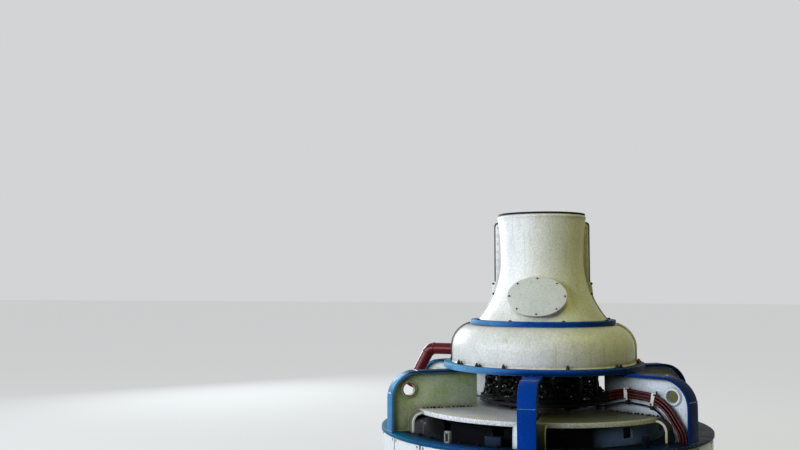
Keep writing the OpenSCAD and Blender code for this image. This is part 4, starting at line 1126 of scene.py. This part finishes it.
def buildOilPipes(o):
    tube("oilPipeRun", [oilPath(o, k * o["pitch"]) for k in (-1, 0, 1)], o["radius"], oilRed, 6,
         ["oil_pipes"], "pipe_paint")
    # rubber sleeves over the pipes' inner ends
    hoses = [[p for p in oilPath(o, k * o["pitch"])[:9]] for k in (-1, 0, 1)]
    tube("oilHoseSleeves", [[path[0].lerp(path[-1], 0.62 * k / 8) + Vector((0, 0, 0.0015 * (k % 2)))
                             for k in range(9)] for path in hoses], o["radius"] + 0.0022, blackRubber, 5,
         slot="black_conduit", wobble=0.05)
    tube("cableConduitRun", [oilPath(o, -o["conduitDown"])], o["conduit"], blackRubber, 5, ["cable_conduit"],
         "black_conduit")
    plates, saddles, heads = bmesh.new(), bmesh.new(), bmesh.new()
    wide, thick = o["clampWide"], o["clampPlate"]
    high, low = o["clampHigh"], o["clampLow"]
    gap = o["offset"] - 0.014 - o["radius"] - thick
    for leg, share, upright in o["clamps"]:
        at = clampPlace(o, leg, share) @ swing(upright, "Y")
        # front and back plates round the pipes, spacer block behind, saddle below
        block(plates, (wide, thick, high + low), at @ slide(0, -o["radius"] - thick / 2, (high - low) / 2))
        block(plates, (wide, thick + gap, high + low),
              at @ slide(0, o["radius"] + (thick + gap) / 2, (high - low) / 2))
        foot = -o["conduitDown"]
        for y in (-1, 1):
            block(saddles, (wide * 0.9, 0.004, 0.030),
                  at @ slide(0.002, y * (o["conduit"] + 0.003), foot + 0.001))
        block(saddles, (wide * 0.9, 2 * o["conduit"] + 0.006, 0.005), at @ slide(0.002, 0, foot + 0.014))
        for x, z, size in ((0.008, high - 0.009, 0.007), (-0.006, -low + 0.010, 0.007)):
            head = at @ slide(x, -o["radius"] - thick, z) @ swing(90, "X")
            bolt(heads, head, size, stud=0.008)
        bolt(heads, at @ slide(0.002, -o["conduit"] - 0.005, foot - 0.002) @ Matrix.Rotation(
            rad(90), 4, "X"), 0.011, stud=0.008)
    # long stud that stands up beside the outer clamp
    disc(heads, 0.006, 0.050, at @ slide(wide / 2 + 0.008, -0.004, high - 0.030), 12)
    softened(plates, 0.0015, 2, 60)
    softened(saddles, 0.0008, 1, 60)
    piece("pipeClampPlates", plates, whitePaint, ["pipe_clamps"], "white_clamp")
    piece("conduitSaddles", saddles, darkPaint, slot="dark_paint")
    piece("pipeClampBolts", heads, boltSteel, slot="shaft_steel")


# air pipe behind the left arm

air = {"turn": 175, "height": 0.993, "drop": 62, "bend": 0.062, "reach": 0.93475, "tail": 0.300,
       "radius": 0.048,
       "flange": 0.084, "bolts": 8, "pitch": 0.066}


def buildAirPipe(a):
    dress("air_pipe", redPaint)
    dress("air_pipe_flange", redPaint)
    place = swing(a["turn"], "Z") @ slide(0, 0, a["height"])
    drop = rad(a["drop"])
    ex, ez = a["reach"] + a["bend"] * math.sin(drop), -a["bend"] * (1 - math.cos(drop))
    end = (ex + a["tail"] * math.cos(drop), ez - a["tail"] * math.sin(drop))
    rings = []
    for x, z, way in ((a["reach"], 0, 0), (ex, ez, drop), (end[0] - 0.003, end[1] + 0.003, drop)):
        at = place @ slide(x, 0, z) @ Matrix.Rotation(way, 4, "Y")
        rings.append([at @ Vector((0, y, up)) for y, up in arcPoints((0, 0), a["radius"] + 0.001, 0, 360, 72)])
    tube("airPipeWelds", rings, 0.004, redPaint, 2, slot="pipe_paint", wobble=0.25)
    bolts = bmesh.new()
    at = place @ slide(end[0], 0, end[1]) @ Matrix.Rotation(drop + rad(90), 4, "Y")
    for k in range(a["bolts"]):
        spot = at @ Matrix.Rotation(2 * math.pi * k / a["bolts"], 4, "Z") @ slide(a["pitch"], 0, 0)
        disc(bolts, 0.0125, 0.010, spot @ slide(0, 0, -0.010), 6)
    piece("airPipeBolts", bolts, boltSteel, slot="shaft_steel")


# small fittings on the deck

fittings = {"deep": 0.060, "tee": (1.052, -147, 0.372), "teeBar": (0.008, 0.016, 0.112, 0.100),
            "boxes": (("slottedTerminalBox", "slotted_box", (1.200, -119.3, 0.397), 0.050, 0.086, 0.024,
                       boxGrey, "grey_paint"),
                      ("wideTerminalBox", "wide_box", (1.052, -104.5, 0.372), 0.128, 0.080, 0.060,
                       slatePaint, "blue_paint"),
                      ("darkTerminalBox", "dark_box", (1.200, -49.1, 0.397), 0.046, 0.086, 0.030,
                       deckPaint, "dark_paint"))}


def buildFittings(f):
    for name, node, spot, wide, high, deep, paint, slot in f["boxes"]:
        at = around(*spot)
        body = bmesh.new()
        block(body, (deep, wide, high), at @ slide(f["deep"] / 2 - 0.006 - deep / 2, 0, high / 2))
        softened(body, 0.003)
        lid = bmesh.new()
        block(lid, (0.006, wide - 0.004, high - 0.004), at @ slide(f["deep"] / 2 - 0.004, 0, high / 2))
        if node == "slotted_box":
            # open slot in the lid
            near = [g for g in lid.faces if g.normal.dot(at.to_3x3() @ Vector((1, 0, 0))) > 0.9]
            bmesh.ops.inset_region(lid, faces=near, thickness=wide * 0.28, depth=0)
            bmesh.ops.inset_region(lid, faces=near, thickness=0.0008, depth=-0.0045)
            core = bmesh.new()
            block(core, (0.003, wide * 0.40, high - wide * 0.60),
                  at @ slide(f["deep"] / 2 - 0.0042, 0, high / 2))
            piece("terminalBlock", softened(core, 0.001, 2, 60), blackBake, slot="dark_paint")
        softened(lid, 0.001, 2, 60)
        screws = bmesh.new()
        for side in (-1, 1):
            for up in (0.12, 0.88):
                corner = at @ slide(f["deep"] / 2 - 0.0012, side * (wide / 2 - 0.008), high * up)
                disc(screws, 0.0032, 0.0012, corner @ swing(90, "Y"), 12)
        piece(name, gathered([body, lid]), paint, [node], slot)
        piece(name + "Screws", screws, boltSteel, slot="shaft_steel")
    at = around(*f["tee"])
    thick, bar, wide, high = f["teeBar"]
    tee = bmesh.new()
    block(tee, (thick, bar, high), at @ slide(0, 0, high / 2))
    block(tee, (thick, wide, bar), at @ slide(0, 0, high - bar / 2))
    softened(tee, 0.001)
    piece("teeBracketBars", tee, boxGrey, ["tee_bracket"], "shaft_steel")


buildHousing(housing)
print("housing built")
buildArms(arms)
buildShelf(shelf)
print("arms and shelf built")
buildRings(lowerRing, upperRing)
buildDrum(drum)
buildHood(hood)
buildOval(oval)
print("drum and hood built")
buildBrushGear(brush)
print("brush gear built")
buildOilPipes(oil)
buildAirPipe(air)
buildFittings(fittings)
print("pipes and fittings built")


# floor, lights and camera

view = {"lens": 40.5, "sensor": 36.0, "place": (0.6599, -7.542, 1.563), "tilt": 93.61, "turn": 13.95,
        "floor": 60.0, "floorTone": 0.22, "shownTone": 0.45, "shown": 0.64, "backTone": (0.93, 0.94, 0.95),
        "back": 0.70, "airTone": (1.0, 1.0, 0.50), "air": 0.04}

lamps = (("windowSide", (-5.5, -5.3, 2.9), (0, 0, 1.1), (9.5, 2.8), 815, (0.87, 0.92, 1.0)),
         ("windowBehind", (-5.2, 4.8, 2.8), (0, 0, 1.0), (3.5, 2.5), 340, (0.85, 0.97, 1.0)),
         ("hallWarm", (3.4, -1.2, 5.6), (0.2, 0, 1.4), (2.6, 2.6), 92, (1.0, 1.0, 0.28)))


def seenBy(tree, dim, pale, out):
    # the pale shader for what the camera, mirrors and glass see, the dim one for light on the object
    paths = tree.nodes.new("ShaderNodeLightPath")
    seen = paths.outputs["Is Camera Ray"]
    for name in ("Is Glossy Ray", "Is Transmission Ray"):
        either = tree.nodes.new("ShaderNodeMath")
        either.operation = "MAXIMUM"
        tree.links.new(seen, either.inputs[0])
        tree.links.new(paths.outputs[name], either.inputs[1])
        seen = either.outputs[0]
    choose = tree.nodes.new("ShaderNodeMixShader")
    tree.links.new(seen, choose.inputs["Fac"])
    tree.links.new(dim, choose.inputs[1])
    tree.links.new(pale, choose.inputs[2])
    tree.links.new(choose.outputs[0], out.inputs["Surface"])


def buildStage(v):
    bm = bmesh.new()
    bmesh.ops.create_grid(bm, x_segments=2, y_segments=2, size=v["floor"])
    mesh = bpy.data.meshes.new("studioFloor")
    bm.to_mesh(mesh)
    bm.free()
    floor = bpy.data.objects.new("studioFloor", mesh)
    bpy.context.scene.collection.objects.link(floor)
    # lamps see a plain dull floor; the camera and reflections see it pale, with the object's shadow
    material = bpy.data.materials.new("floorPale")
    material.use_nodes = True
    tree = material.node_tree
    tree.nodes.clear()
    out = tree.nodes.new("ShaderNodeOutputMaterial")
    dull, pale = tree.nodes.new("ShaderNodeBsdfDiffuse"), tree.nodes.new("ShaderNodeBsdfDiffuse")
    dull.inputs["Color"].default_value = (v["floorTone"],) * 3 + (1,)
    pale.inputs["Color"].default_value = (v["shownTone"],) * 3 + (1,)
    glow = tree.nodes.new("ShaderNodeEmission")
    glow.inputs["Color"].default_value = (*v["backTone"], 1)
    blend = tree.nodes.new("ShaderNodeMixShader")
    blend.inputs["Fac"].default_value = v["shown"]
    tree.links.new(pale.outputs[0], blend.inputs[1])
    tree.links.new(glow.outputs[0], blend.inputs[2])
    seenBy(tree, dull.outputs[0], blend.outputs[0], out)
    mesh.materials.append(material)

    world = bpy.data.worlds.new("studioAir")
    bpy.context.scene.world = world
    world.use_nodes = True
    tree = world.node_tree
    tree.nodes.clear()
    out = tree.nodes.new("ShaderNodeOutputWorld")
    dim, pale = tree.nodes.new("ShaderNodeBackground"), tree.nodes.new("ShaderNodeBackground")
    dim.inputs["Color"].default_value = (*v["airTone"], 1)
    dim.inputs["Strength"].default_value = v["air"]
    pale.inputs["Color"].default_value = (*v["backTone"], 1)
    pale.inputs["Strength"].default_value = v["back"]
    seenBy(tree, dim.outputs[0], pale.outputs[0], out)


def buildLamps(kit):
    for name, place, aim, size, watts, tone in kit:
        lamp = bpy.data.lights.new(name, "AREA")
        lamp.shape = "RECTANGLE"
        lamp.size, lamp.size_y = size
        lamp.energy = watts
        lamp.color = tone
        holder = bpy.data.objects.new(name, lamp)
        holder.location = place
        holder.rotation_euler = (Vector(aim) - Vector(place)).to_track_quat("-Z", "Y").to_euler()
        bpy.context.scene.collection.objects.link(holder)


def buildCamera(v):
    lens = bpy.data.cameras.new("photoCamera")
    lens.lens = v["lens"]
    lens.sensor_width = v["sensor"]
    lens.clip_end = 200
    holder = bpy.data.objects.new("photoCamera", lens)
    holder.location = v["place"]
    holder.rotation_euler = (rad(v["tilt"]), 0, rad(v["turn"]))
    bpy.context.scene.collection.objects.link(holder)
    bpy.context.scene.camera = holder


buildStage(view)
buildLamps(lamps)
buildCamera(view)
bpy.context.scene.view_settings.view_transform = "Standard"
print("stage, lights and camera set")
